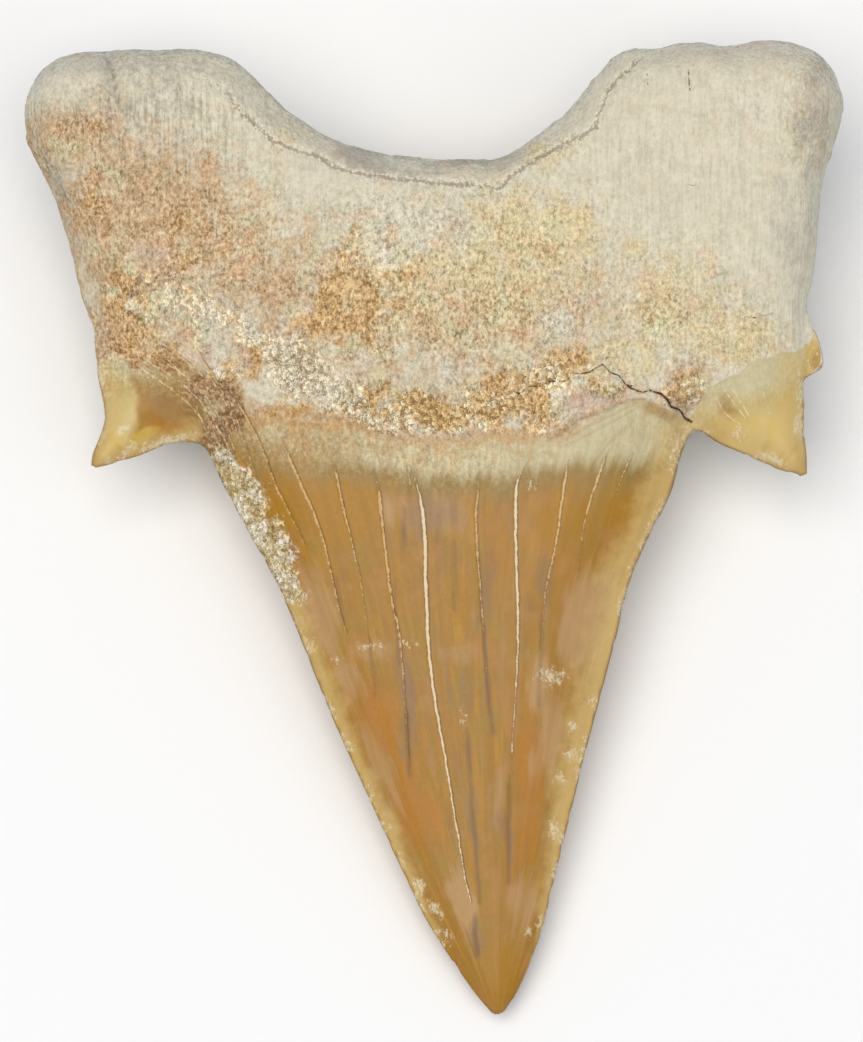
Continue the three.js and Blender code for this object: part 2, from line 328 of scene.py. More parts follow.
# %% Pale cracks
# Points from top to bottom, in mm, half width at the top and how much of it is left at the end
PALE_CRACKS = [
    ([(-22.1, 10.2), (-20, 8.7), (-18, 7.5), (-16.5, 5.9), (-14.6, 3.5)], 0.08, 0.3),
    ([(-19.5, 9.9), (-18, 7.4), (-17.2, 5.9), (-15.9, 3.4), (-15.1, 0.7), (-14.2, -1.5)], 0.09, 0.3),
    ([(-16.5, 6.1), (-15.1, 3.7), (-13.9, 1.2), (-13.3, -0.7), (-12.5, -2.4), (-10.6, -6.1)], 0.13, 0.4),
    ([(-12.6, 2.7), (-11.6, 0.2), (-9.7, -4), (-8.9, -6.4), (-8.1, -10.2), (-7.2, -13.4)], 0.15, 0.4),
    ([(-8.7, 1), (-8.1, 0.2), (-7.5, -3.1), (-6.4, -7.5), (-5.9, -9.8), (-5.4, -14.2)], 0.14, 0.2),
    ([(-5, 0.2), (-4.5, -1.7), (-3.9, -7.7), (-3.5, -10.8), (-2.8, -13.3), (-2.3, -20.2), (-2.1, -23.5)],
     0.15, 0.3),
    ([(-2.1, 0.4), (-1.3, -1.4), (-0.8, -3.8), (-0.6, -12.3), (-0.3, -16.7), (1.1, -24.8), (1.8, -29),
      (2.5, -33.4), (3, -35.5)], 0.21, 0.45),
    ([(-2.1, 0.4), (-1.9, -2.6)], 0.12, 0.2),
    ([(3.7, -0.7), (3.4, -3.5), (3.5, -5.8), (4.2, -14.6), (4.5, -18.8)], 0.13, 0.1),
    ([(7.8, 0.9), (6.9, -0.6), (6.7, -2), (6.7, -5), (7, -14.2), (6.4, -22.9), (6.3, -25.4)], 0.19, 0.3),
    ([(11.1, 1.1), (10.7, -1.2), (10, -6.5), (9.1, -9.9), (8.9, -14.2)], 0.16, 0.3),
    ([(14.4, 1.7), (13.5, -0.4), (12.3, -4.5), (11.8, -9)], 0.16, 0.2),
    ([(16.3, 1.4), (15.7, -0.2), (14.8, -2.4)], 0.08, 0.2),
]
print("pale cracks:", len(PALE_CRACKS))

# %% Dark streaks
# Where a crack hasn't opened, and one of painted shade in a crease: points, half width and strength
DARK_STREAKS = [
    ([(-5.4, -13.5), (-5, -16.4), (-4.9, -18.6)], 0.20, 0.6),
    ([(-2.3, -19.5), (-2.1, -23), (-2, -25.2)], 0.24, 0.8),
    ([(4, -12), (4.5, -18.8), (4.9, -21.6)], 0.22, 0.8),
    ([(2.7, -20.5), (3.1, -27.2), (3.8, -35.5)], 0.26, 0.7),
    ([(3.4, -36.5), (3.5, -39.9)], 0.30, 0.8),
    ([(6.2, -25), (6.2, -34)], 0.22, 0.7),
    ([(8.9, -11), (8.6, -19.5)], 0.22, 0.6),
    ([(-2.4, -2.8), (-2.5, -6.6)], 0.28, 0.7),
    ([(0.3, -3.2), (0.3, -6)], 0.25, 0.6),
    ([(1.6, -5.2), (1.7, -11.5)], 0.28, 0.7),
    ([(-8.1, -8.5), (-7.4, -12.6)], 0.22, 0.5),
    ([(3.7, -6.5), (3.9, -12.5)], 0.20, 0.6),
    ([(-3.3, -8.5), (-2.9, -16)], 0.20, 0.6),
    # Painted shade: a dark line down the crease of the upper left lobe
    ([(-27.6, 34.9), (-26.5, 33.4), (-26.1, 31.6), (-25.8, 29.4)], 0.16, 0.75),
    ([(-14.6, 4.6), (-13.6, 2.6)], 0.10, 0.5), ([(-12.8, 4.4), (-12.2, 3)], 0.10, 0.4),
    ([(-11.2, 4.2), (-10.3, 2.2)], 0.10, 0.5), ([(-9, 4.4), (-8.2, 2.6)], 0.10, 0.45),
    ([(-7, 3.9), (-6.2, 1.6)], 0.12, 0.5), ([(-3.2, 2.4), (-3, 0.8)], 0.10, 0.4),
    ([(-0.6, 2.2), (-0.5, 0.6)], 0.10, 0.35), ([(-16.4, 5.2), (-15, 2.4)], 0.12, 0.5),
    ([(9, 2.3), (10.8, 3.2), (12, 4.2), (14.3, 4.9), (15.9, 5.7), (17.4, 5.9)], 0.12, 0.65),
    ([(10.1, 4.9), (11.7, 5.8), (13.1, 7.1), (14.3, 8.5)], 0.10, 0.5),
    ([(14.3, 4.9), (14.9, 6.2), (15.3, 7.6)], 0.09, 0.5),
]
print("dark streaks:", len(DARK_STREAKS))

# %% Open cracks, the notch's line and hairlines
# Open cracks in the root: points, half width and depth. The last ones are shallow ticks.
OPEN_CRACKS = [
    ([(6, 6.7), (7, 6.3), (7.9, 6.9), (8.8, 6.9), (9.6, 7.3), (10.8, 7.3), (11.6, 7.9), (12.6, 8)],
     0.02, 0.16),
    ([(11.8, 7.9), (12.9, 8.1), (13.9, 8.7), (14.5, 8), (15.2, 7.8), (15.8, 7), (16.3, 6.9)], 0.03, 0.22),
    ([(15.6, 7.2), (16.2, 6.7), (17.2, 6.4), (17.8, 6.6), (18.6, 6.3)], 0.03, 0.40),
    ([(18, 6.5), (18.7, 6.3), (19.3, 5.8), (19.6, 5.2), (20.3, 4.9), (20.8, 4.2), (21.3, 3.9)], 0.04, 0.50),
    ([(25.2, 12.3), (25.7, 12.6), (26.6, 12.5), (28, 12.9)], 0.03, 0.12),
    ([(17.5, 32.8), (17.6, 31.6)], 0.03, 0.12), ([(20.9, 33.2), (21.1, 31.2)], 0.04, 0.15),
    ([(22.6, 31.8), (22.7, 30.8)], 0.03, 0.12), ([(20.4, 23.5), (21.6, 23.4)], 0.02, 0.08),
]
# Fans of hairlines, scratched or split into the surface: a line, how strongly it shows, and how far each
# hair lies beside it, mm.
HAIR_FANS = [
    ([(-24.8, 10.4), (-22, 8.7), (-19.6, 7), (-17.8, 4.6), (-16.4, 1.4)], 0.66, [-1.5, -0.6, 0.1, 1.4]),
    ([(-22.4, 10.6), (-20.2, 8.6), (-18.3, 6.2)], 0.6, [-0.9, 0.5]),
    ([(-26.2, 9.9), (-23.4, 8.6), (-20.4, 6.9)], 0.55, [-1, -0.3, 0.8]),
    ([(-19.4, 6.2), (-18.2, 3.6), (-17.2, 0.6)], 0.6, [-0.8, -0.1, 0.4]),
    ([(23.6, 6.8), (24.6, 5.4), (25.6, 4.2)], 0.7, [-1, 0.2, 0.8]),
    ([(26.8, 6.8), (27.3, 5.6), (27.6, 4.6)], 0.6, [0.2]),
    ([(10.8, 2.4), (13.6, 3.8), (16.6, 5.3)], 0.5, [-0.9, 0.5]),
    ([(13.2, 0.6), (14.8, 2.8), (16.4, 4)], 0.45, [-0.7, 0.2]),
]
HAIR_WIDTH = 0.03
HAIR_ASIDE = (0.6, 0.8)  # the way in which a hair is moved aside, right and up
LOBE_CREASE = [(-27.8, 35.2), (-26.2, 32.6), (-25.8, 30)]
NOTCH_LINE = [
    (-20.7, 33), (-18.5, 32.3), (-16.9, 31.1), (-15.8, 29.3), (-13.2, 27.2), (-9.4, 25.7), (-6.6, 24.7),
    (-0.2, 23.8), (5.4, 23.3), (7.1, 25), (11.1, 27.2), (13.4, 28.3), (14.3, 31.4), (17.4, 34.1),
]
print("open cracks:", len(OPEN_CRACKS), " fans of hairlines:", len(HAIR_FANS))

# %% Curves out of the lines
WAVER, WAVES = 0.07, 1.3  # mm that a crack strays from its line, and the length of its waves


def curved(path, rounds=2):
    """The path with its corners cut, and cut again, which bends it into a curve."""
    path = np.array(path, float)
    for _ in range(rounds):
        a, b = path[:-1], path[1:]
        cuts = np.stack([0.75 * a + 0.25 * b, 0.25 * a + 0.75 * b], 1).reshape(-1, 2)
        path = np.concatenate([path[:1], cuts, path[-1:]])
    return path


def moved_aside(path, distance):
    """The path moved to its upper right, more so in its middle, so that neighbours fan out."""
    fanning = np.sin(np.linspace(0.3, 0.8, len(path)) * math.pi)[:, None]
    return np.array(path) + distance * fanning * HAIR_ASIDE


HAIRS = [
    (curved(moved_aside(path, distance)), HAIR_WIDTH, strength)
    for path, strength, distances in HAIR_FANS
    for distance in distances
]
PALE_CRACKS = [(curved(path), *rest) for path, *rest in PALE_CRACKS]
DARK_STREAKS = [(curved(path), *rest) for path, *rest in DARK_STREAKS]


def wavering(places):
    """The places, pushed about a little, so that a straight stretch of line comes out crooked."""
    aside = np.stack([lumps(places, WAVES, 2, seed=1), lumps(places, WAVES, 2, seed=2), 0 * places[:, 0]], 1)
    return places + WAVER * aside


print("hairs:", len(HAIRS))

# %% [markdown]
# ## Finer faces where the detail is
# The body's faces are about 0.4 mm wide, and a crack is half that. Making every face finer would take
# millions of them, so only the faces near a line are cut, with the Subdivide tool: once in a broad band,
# and again close to the line. The crust above the crown's foot and the notch's line are cut once.

# %% Cut the faces near the lines
# Where the enamel begins on the outer face: points from left to right, mm
FOOT = [
    (-28.6, 8.6), (-25.5, 9.2), (-22, 9.4), (-19.6, 8.6), (-17.5, 6.4), (-15.6, 4.6), (-12, 4), (-7.6, 3.9),
    (-5.2, 3.2), (-3, 2.3), (3, 2.2), (5, 2.9), (8, 2.6), (10.1, 2.3), (12.5, 3.8), (14.5, 5), (17, 5.8),
    (19.4, 5), (21, 4.2), (22.6, 6.6), (26, 8.8), (30.7, 10.2),
]
CRUST_HEIGHT, CRUST_SIDE = 6.0, 19.0  # mm above the foot and mm to each side within which it is cut
NEAR, CLOSE, NEAR_NOTCH = 0.5, 0.16, 1.0  # mm from a line
FINE_LINES = PALE_CRACKS + OPEN_CRACKS + HAIRS


def line_gap(places, lines):
    return np.min([from_path(places, line[0])[0] - line[1] for line in lines], axis=0)


def cut_faces(piece, near):
    """Cuts each face into four where near says so for its middle."""
    middles = np.array([face.center for face in piece.data.polygons])
    facing = np.array([face.normal.z for face in piece.data.polygons])
    chosen = near(wavering(middles)) & (facing > 0.1)
    edit_only(piece, "FACE", chosen)
    bpy.ops.mesh.subdivide(number_cuts=1, smoothness=0)
    finish_edit()
    print("cut", chosen.sum(), "faces, now", len(piece.data.polygons))


def near_detail(places):
    height = above(places, FOOT)
    in_crust = (height > 0) & (height < CRUST_HEIGHT) & (np.abs(places[:, 0]) < CRUST_SIDE)
    near_notch = from_path(places, NOTCH_LINE)[0] < NEAR_NOTCH
    return in_crust | near_notch | (line_gap(places, FINE_LINES) < NEAR)


cut_faces(tooth, near_detail)
cut_faces(tooth, lambda places: line_gap(places, FINE_LINES) < CLOSE)
triangles = sum(len(face.vertices) - 2 for face in tooth.data.polygons)
print("triangles:", triangles)

# %% [markdown]
# ## Stains and crust as fields
# Ground water stained the root unevenly, and each stain has its own place and colour: a pinkish tan over
# the left lobe, rust brown in the middle, straw yellow to the right, dark umber beside the left cusp, and
# chalk white where the bone's skin flaked off. The spots are listed as x, y, two radii, turn and
# strength, in the tooth's plane. Their edges are pushed about by noise, so that no ellipse shows.

# %% The stains
STAINS = {
    "tan": [
        (-23, 20, 11.5, 10.5, -10, 0.95), (-29.4, 27.4, 5.6, 4.8, 0, 1), (-27.5, 23, 6, 5, 0, 1),
        (-25, 12, 5.5, 7.5, 0, 1.2), (-20, 11, 3.6, 2.6, -30, 0.6), (-17.8, 14, 3, 3.4, 0, 0.6),
        (-14, 15, 10, 8, 0, 0.7), (1, 12, 14, 5.5, 5, 0.5), (11, 13.4, 8, 6, 0, 0.45),
        (-10, 20.5, 8, 4, -10, 0.3), (20.9, 6.5, 3, 3.4, 0, 0.9), (-5, 8.6, 6, 3, -15, 0.55),
        (-30, 12, 2.5, 7, 8, 0.8), (4, 8.4, 8, 2.4, 0, 0.45), (-24, 9.5, 5, 3, 0, 0.8),
        (2, 5.5, 16, 3.6, 0, 0.7), (13, 6.2, 5, 2.4, 10, 0.6), (-31, 20, 4, 8, 15, 0.6),
        (22, 13, 6, 5, 0, 0.25), (30.6, 29, 2.4, 7, 0, 0.4), (-32.8, 26, 2, 5, 8, 0.9),
    ],
    "rust": [
        (-7, 13.2, 4.4, 4.2, 20, 1), (-9.4, 12, 2.4, 2.8, 0, 0.8), (-7.2, 18, 2, 1.6, 0, 0.6),
        (-3, 15.8, 1.8, 1.2, 0, 0.7), (-5, 11.4, 3, 2.2, 0, 0.8), (-19.7, 16.7, 1, 1.2, 0, 1.3),
        (-30.2, 28.4, 1.7, 1.6, 0, 0.3), (-27.4, 28.4, 1.2, 1.3, 0, 0.8), (-25.1, 15.2, 1.4, 1.8, 0, 0.7),
        (-23.3, 13, 1.5, 1.6, 0, 0.8), (-15.4, 9, 1.8, 1.6, -20, 0.8), (0, 4.3, 4.4, 1.6, -8, 0.75),
        (4, 4.4, 5, 1.5, 8, 0.7), (-4.5, 6.6, 2.4, 1.4, 0, 0.6), (5.4, 7.6, 2.6, 1.8, 0, 0.8),
        (11.2, 8.9, 3.8, 1.5, 5, 0.9), (8.4, 5.6, 2.6, 1.3, 10, 0.9), (14, 7.4, 2.4, 1.2, 0, 0.6),
        (-20, 19, 7, 5, -30, 0.42), (-12.4, 4.8, 3.4, 1.2, -10, 0.9), (3, 11.5, 7, 4, 0, 0.30),
        (-28, 21.5, 3, 5, 20, 0.45), (18, 13.4, 3, 4, 0, 0.38), (-16.6, 6.6, 1.2, 1.6, -30, 1),
        (-7, 13.4, 7, 5, 0, 0.45), (-24, 10.2, 4.4, 1.4, -14, 0.9), (0, 4.4, 15, 2, 0, 0.5),
        (-25.2, 12.8, 3.8, 5, 0, 0.95), (-33, 26.5, 1.2, 3.6, 8, 0.6), (20.4, 6.8, 1.6, 2, 0, 0.6),
    ],
    "straw": [
        (8.5, 19.8, 7, 5, 0, 1), (19, 14.2, 8, 7, 0, 0.6), (3, 15, 15, 8, 0, 0.75),
        (25, 10.5, 6, 3.5, 10, 0.7), (-15, 19, 5, 6, 0, 0.5), (-12, 29, 3, 4, 0, 0.3),
        (9.5, 26, 3, 2, 35, 0.6), (16, 9.5, 7, 3, 0, 0.6), (-21, 12, 4, 3, 0, 0.4),
    ],
    "chalk": [
        (-19.4, 12.9, 3, 2.4, 0, 0.55), (-21, 15.3, 2, 1.4, 0, 0.45), (-15, 11.6, 3, 1.6, -20, 0.65),
        (-11.3, 8.4, 4, 2.3, -32, 1.1), (-8, 6, 3.6, 1.9, -30, 1.1), (-4.4, 4.2, 2.4, 1, -15, 0.9),
        (0.5, 8, 2.2, 1.6, 0, 0.6), (10.2, 12.6, 2.6, 2.8, 0, 0.7), (11.4, 4.6, 2.4, 0.6, 15, 0.6),
        (17, 5.6, 1.8, 0.9, 0, 0.8), (2.2, 2.7, 3.4, 0.9, 0, 0.7), (10.4, 6.5, 1.6, 0.6, 15, 1.1),
        (-24.5, 13, 1.6, 1.4, 0, 0.7), (-14.2, 5.8, 1.4, 1.6, 0, 0.9), (26, 30, 3.5, 3.5, 0, 0.5),
        (-2, 21, 7, 3, -20, 0.55), (19.2, 11.5, 2, 1.5, 0, 0.4), (-3.6, 18, 2.4, 1.8, 0, 0.6),
    ],
    "umber": [
        (-17.4, 3, 1.7, 4.2, -20, 1.2), (-18.6, 6.2, 2.8, 2, -40, 1), (-22.4, 8.9, 4, 1.1, -18, 0.9),
        (20.9, 5, 1.4, 1.6, 0, 0.55), (-17.4, 1, 1.3, 1.8, -25, 0.8), (19.4, 4.2, 1.8, 1, -20, 0.45),
    ],
    "lilac": [
        (12.8, 5.6, 4, 1.4, 16, 1.3), (14.8, 6.9, 1.6, 1.5, 0, 1.2), (-8, 3.4, 3, 1, 0, 0.6),
        (3.6, 3.2, 2.4, 0.9, 0, 0.8), (-19.4, 9.8, 2.4, 1.8, -30, 0.8), (-16.4, 9, 1.6, 1.6, 0, 0.7),
        (-1.4, 2.4, 2.6, 1, 0, 0.6), (-12.4, 11.6, 1.4, 1.4, 0, 0.6), (1.5, 20.5, 2.2, 2.6, 0, 0.4),
        (-27, 26, 3, 6, -10, 0.35), (-26, 30, 1.4, 4, 0, 0.4), (-24, 17.5, 2.5, 2.5, 0, 0.5),
    ],
    "tea": [
        (-10.6, 3.3, 5.8, 1.4, 0, 1), (-15, 3.4, 2.4, 3.6, 30, 1.1), (19.6, 2.8, 1.4, 2, 0, 0.5),
        (-10.5, 1.6, 6.5, 2.2, 0, 0.8), (-20.8, 6.8, 4.4, 2.8, -20, 1.1), (-4.8, 1.8, 2.6, 1, 0, 0.6),
        (8.2, 1.9, 2.6, 0.7, 0, 0.4), (13.5, 4.4, 1.5, 0.8, 30, 0.4), (18.4, 4.6, 2.2, 1, -20, 0.7),
        (24.4, 5, 1.8, 1.2, 20, 0.7), (0, 1, 5, 1.4, 0, 0.35), (32.3, 9.4, 0.8, 2.4, -12, 0.7),
    ],
    # Grey: painted shade on the rims of the lobes and along the notch's rim, and elsewhere a grey stain.
    "dusk": [
        (30.8, 29, 1.6, 6, -5, 0.8), (28.6, 20.5, 2.6, 5, 15, 0.5), (-31.8, 24, 1.6, 6, 12, 0.5),
        (-31, 14, 2, 8, 8, 0.4), (-24.5, 34, 8, 1.2, 0, 0.4), (-23.5, 30.5, 9, 5, 0, 0.42),
        (-21.6, 14, 5, 3.4, 0, 0.5), (-5.6, 26.2, 6, 1.4, -22, 0.9), (4, 25.6, 5.6, 1.2, 8, 0.9),
    ],
}
print("spots:", {name: len(spots) for name, spots in STAINS.items()})

# %% [markdown]
# On the inner face nothing is listed. The same stains come from broad noise there.

# %% Lay the stains
# The size of the noise in mm, where it starts to show and how strongly
INNER_STAINS = {
    "tan": (9, -0.1, 0.7), "rust": (6, 0.15, 0.6), "straw": (8, 0, 0.6), "chalk": (5, 0.3, 0.8),
    "umber": (7, 0.4, 0.4), "lilac": (6, 0.25, 0.6), "tea": (8, 0.5, 0.5), "dusk": (11, 0.2, 0.6),
}
MOTTLING = 0.55  # how much finer noise varies a stain's strength
DRIFT = 1.3  # mm that noise pushes a stain's edge about
OUTER_FACING = (-0.1, 0.25)  # the normal's z where the outer face begins and where it is full


def by_side(on_outer, on_inner):
    """One value on the outer face and another on the inner."""
    return outer * on_outer + (1 - outer) * on_inner


mesh = tooth.data
places = read(mesh)
outer = step(read(mesh, "normal")[:, 2], *OUTER_FACING)
drifting = places + DRIFT * np.stack([lumps(places, 3.5, 5, seed=seed) for seed in (3, 4, 5)], 1)
field = {}
for number, (name, spots) in enumerate(STAINS.items()):
    size, threshold, strength = INNER_STAINS[name]
    inner_stain = strength * step(lumps(places, size, 4, seed=number), threshold, threshold + 0.3)
    mottling = 1 + MOTTLING * lumps(places, 2.0, 4, (0.8, 1.2, 1), seed=40 + number)
    field[name] = np.clip(mottling * by_side(patches(drifting, spots), inner_stain), 0, 1.2)
print({name: round(float(values.mean()), 3) for name, values in field.items()})

# %% [markdown]
# ## Enamel, crust and edges
# Enamel covers the crown and the cusps. On the outer face it ends in a nearly straight line. On the inner
# face the line dips towards the tip in the middle, and above it lies the neck, a dull brown band. Crust
# is sand cemented onto the root just above the crown, with a brown seam at its foot. The edge field is
# the distance from the outline, for the worn pale borders and the painted shade along the edge, and the
# rim field marks where the root turns away, for the grey of painted shade there. Chips says how worn the
# crown's foot is, which is more on its left.
#
# All of them follow from a few lines and spots.

# %% Lines and spots of enamel, band, crust and fold
INNER_FOOT = [
    (-28.6, 6), (-23, 4.5), (-19, 1.5), (-10, -1.8), (1, -4), (12, -1.6), (20, 2), (25, 4), (30.7, 6),
]
NECK_WIDTH = 3.4
PALE_BAND_END = [
    (-28.6, 7.6), (-25, 7.8), (-21, 7.4), (-18, 4.6), (-14, 1.6), (-4, 0.6), (-2, -0.2), (6, -0.3),
    (9, 0.4), (11.5, 0.8), (18, 0.7), (21, 2.4), (24.5, 5.8), (30, 7.2), (31.2, 11.4), (33.5, 12.4),
]  # the pale band at the crown's foot reaches down to here on the outer face
THIRD_CUSP = [(32, 10, 1.6, 2.9, -12, 1)]
CRUST = [
    (-19.6, 13.4, 3.6, 2, -30, 0.66), (-22.6, 15.4, 2.2, 1.2, -20, 0.5), (-15, 10.6, 3.4, 1.6, -30, 0.85),
    (-11, 8.2, 4.2, 2.7, -32, 1.2), (-6.4, 5.6, 3.8, 2.3, -22, 1.2), (-1, 4.4, 5.6, 1.7, -4, 1.1),
    (4.6, 5.2, 4.4, 2.2, 12, 1.1), (9, 7.6, 4, 1.4, 6, 0.9), (8.6, 4.8, 2.8, 1.5, 14, 0.8),
    (14.4, 7.2, 2.2, 1, 0, 0.6), (20.6, 5.6, 1.8, 2, 0, 0.7), (-17.2, 7.4, 1.8, 2.2, -30, 0.7),
    (-7, 15, 4, 3.4, 20, 0.45), (-24.6, 13, 2.4, 2.4, 0, 0.5), (-5, 10.4, 2, 1.4, 0, 0.4),
]
# The fold where root, left cusp and crown meet, down its middle
FOLD = [(-27, 10.6), (-24.4, 10), (-22, 8.9), (-19.6, 7), (-17.8, 4.6), (-16.4, 1.4), (-15.6, -1.2)]
FOLD_LENGTH, FOLD_REACH = 17.0, 3.4  # mm down the fold, and to each side of it
CROWN_WIDTH = 40  # of the grain's own units across the crown, everywhere
# The crown's sides: y, left x and right x, mm
CROWN_SIDES = [(-44.5, 4.6, 5.8), (-27.2, -5.3, 11.5), (-9.1, -13.1, 16.2), (2.6, -18.9, 21.2)]
print("spots of crust:", len(CRUST))

# %% Enamel, neck, crust and seam
above_inner_foot = above(places, INNER_FOOT) + 0.5 * lumps(places, 2.5, 3, seed=6)
above_outer_foot = above(places, FOOT) + 0.35 * lumps(places, 2.0, 4, seed=7)
outer_enamel = np.maximum(step(above_outer_foot, 0.5, -0.5), patches(drifting, THIRD_CUSP))
inner_enamel = step(above_inner_foot, 0.25, -0.25)
field["enamel"] = by_side(outer_enamel, inner_enamel)
field["foot"] = by_side(above(places, PALE_BAND_END), above_inner_foot + 1.5)
field["umber"] *= 1 - (1 - outer) * inner_enamel
from_middle = np.abs(places[:, 0] - 1)
neck = step(above_inner_foot, 0, 0.3) * step(above_inner_foot, NECK_WIDTH, NECK_WIDTH - 1)
field["neck"] = (1 - outer) * step(from_middle, 19.5, 16) * neck
field["crown"] = step(from_middle, 22.0, 18.5)
field["crust"] = outer * patches(drifting, CRUST) * step(above_outer_foot, -0.2, 0.3)
seam = above_outer_foot - 0.3 + 0.5 * lumps(places, 1.8, 4, (0.7, 1.4, 1), seed=8)
seam_width = np.interp(places[:, 0], [-13, -5], [1.9, 1.1])
seam_strength = np.interp(places[:, 0], [-20, -17, -8, -4, 9, 14, 21], [0, 1.3, 1.2, 0.9, 0.9, 0.45, 0])
field["seam"] = outer * step(np.abs(seam), seam_width, 0.2) * seam_strength
print("enamel covers", round(100 * field["enamel"].mean()), "% of the points")

# %% Edges, rims, chips and where the bone is grainy
def outline_distance(mesh):
    """How far each vertex is from the outline, seen square on."""
    rim = places[sorted(rim_of(mesh))][:, :2]
    tree = KDTree(len(rim))
    for i, (x, y) in enumerate(rim):
        tree.insert((x, y, 0), i)
    tree.balance()
    return np.array([tree.find((x, y, 0))[2] for x, y in places[:, :2]])


field["edge"] = outline_distance(mesh)
field["chips"] = np.interp(places[:, 0], [2, 11], [1.0, 0.35])
facing = read(mesh, "normal")
# The rim field is painted shade: grey for the root's rims that turn away and face up the tooth.
turned_away = step(facing[:, 2], 0.65, 0.2) * step(facing[:, 2], -0.6, -0.2)
field["rim"] = turned_away * step(facing[:, 1], -0.25, 0.3) * (1 - field["enamel"])
stained = 0.45 * field["tan"] + 0.5 * field["rust"] + 0.4 * field["straw"] + 0.5 * field["crust"]
middle_and_left = [(0, 20, 12, 6, 0, 1), (-22, 31, 9, 6, 0, 0.5)]
paler_grain = 0.18 * outer * patches(drifting, middle_and_left)
lobe_fibres = [(-22, 29, 10, 8, 0, 0.8), (18, 24, 9, 8, 0, 0.2)]
field["fibrous"] = 0.4 + outer * patches(drifting, lobe_fibres)
field["grainy"] = np.clip(0.15 + paler_grain + stained + 0.25 * field["rim"] + 0.15 * field["chalk"], 0, 1)
print("farthest from the outline, mm:", round(float(field["edge"].max()), 1))

# %% [markdown]
# Two more fields are flows: coordinates that follow the tooth, in which fibres and streaks can be drawn.
# The grain closes up towards the tip as the crown narrows, so that its streaks lean together like the
# real ones. The fold runs down the crease between root, left cusp and crown, for the strokes in its stain.

# %% Flows along the crown and down the fold
crown_ys, lefts, rights = zip(*CROWN_SIDES)
left, right = (np.interp(places[:, 1], crown_ys, side) for side in (lefts, rights))
grain = np.stack([CROWN_WIDTH * (places[:, 0] - left) / (right - left), places[:, 1], places[:, 2]], 1)
fold_gap, fold_share = from_path(places, FOLD)
fold_gap = fold_gap * np.sign(above(places, FOLD)) + 0.5 * lumps(places, 2.6, 3, seed=30)
fold = np.stack([fold_gap, FOLD_LENGTH * fold_share, places[:, 1]], 1)
field["folded"] = outer * step(np.abs(fold_gap), FOLD_REACH, 1.0) * step(fold_share, 1.0, 0.85)
print("points in the fold:", int((field["folded"] > 0).sum()))
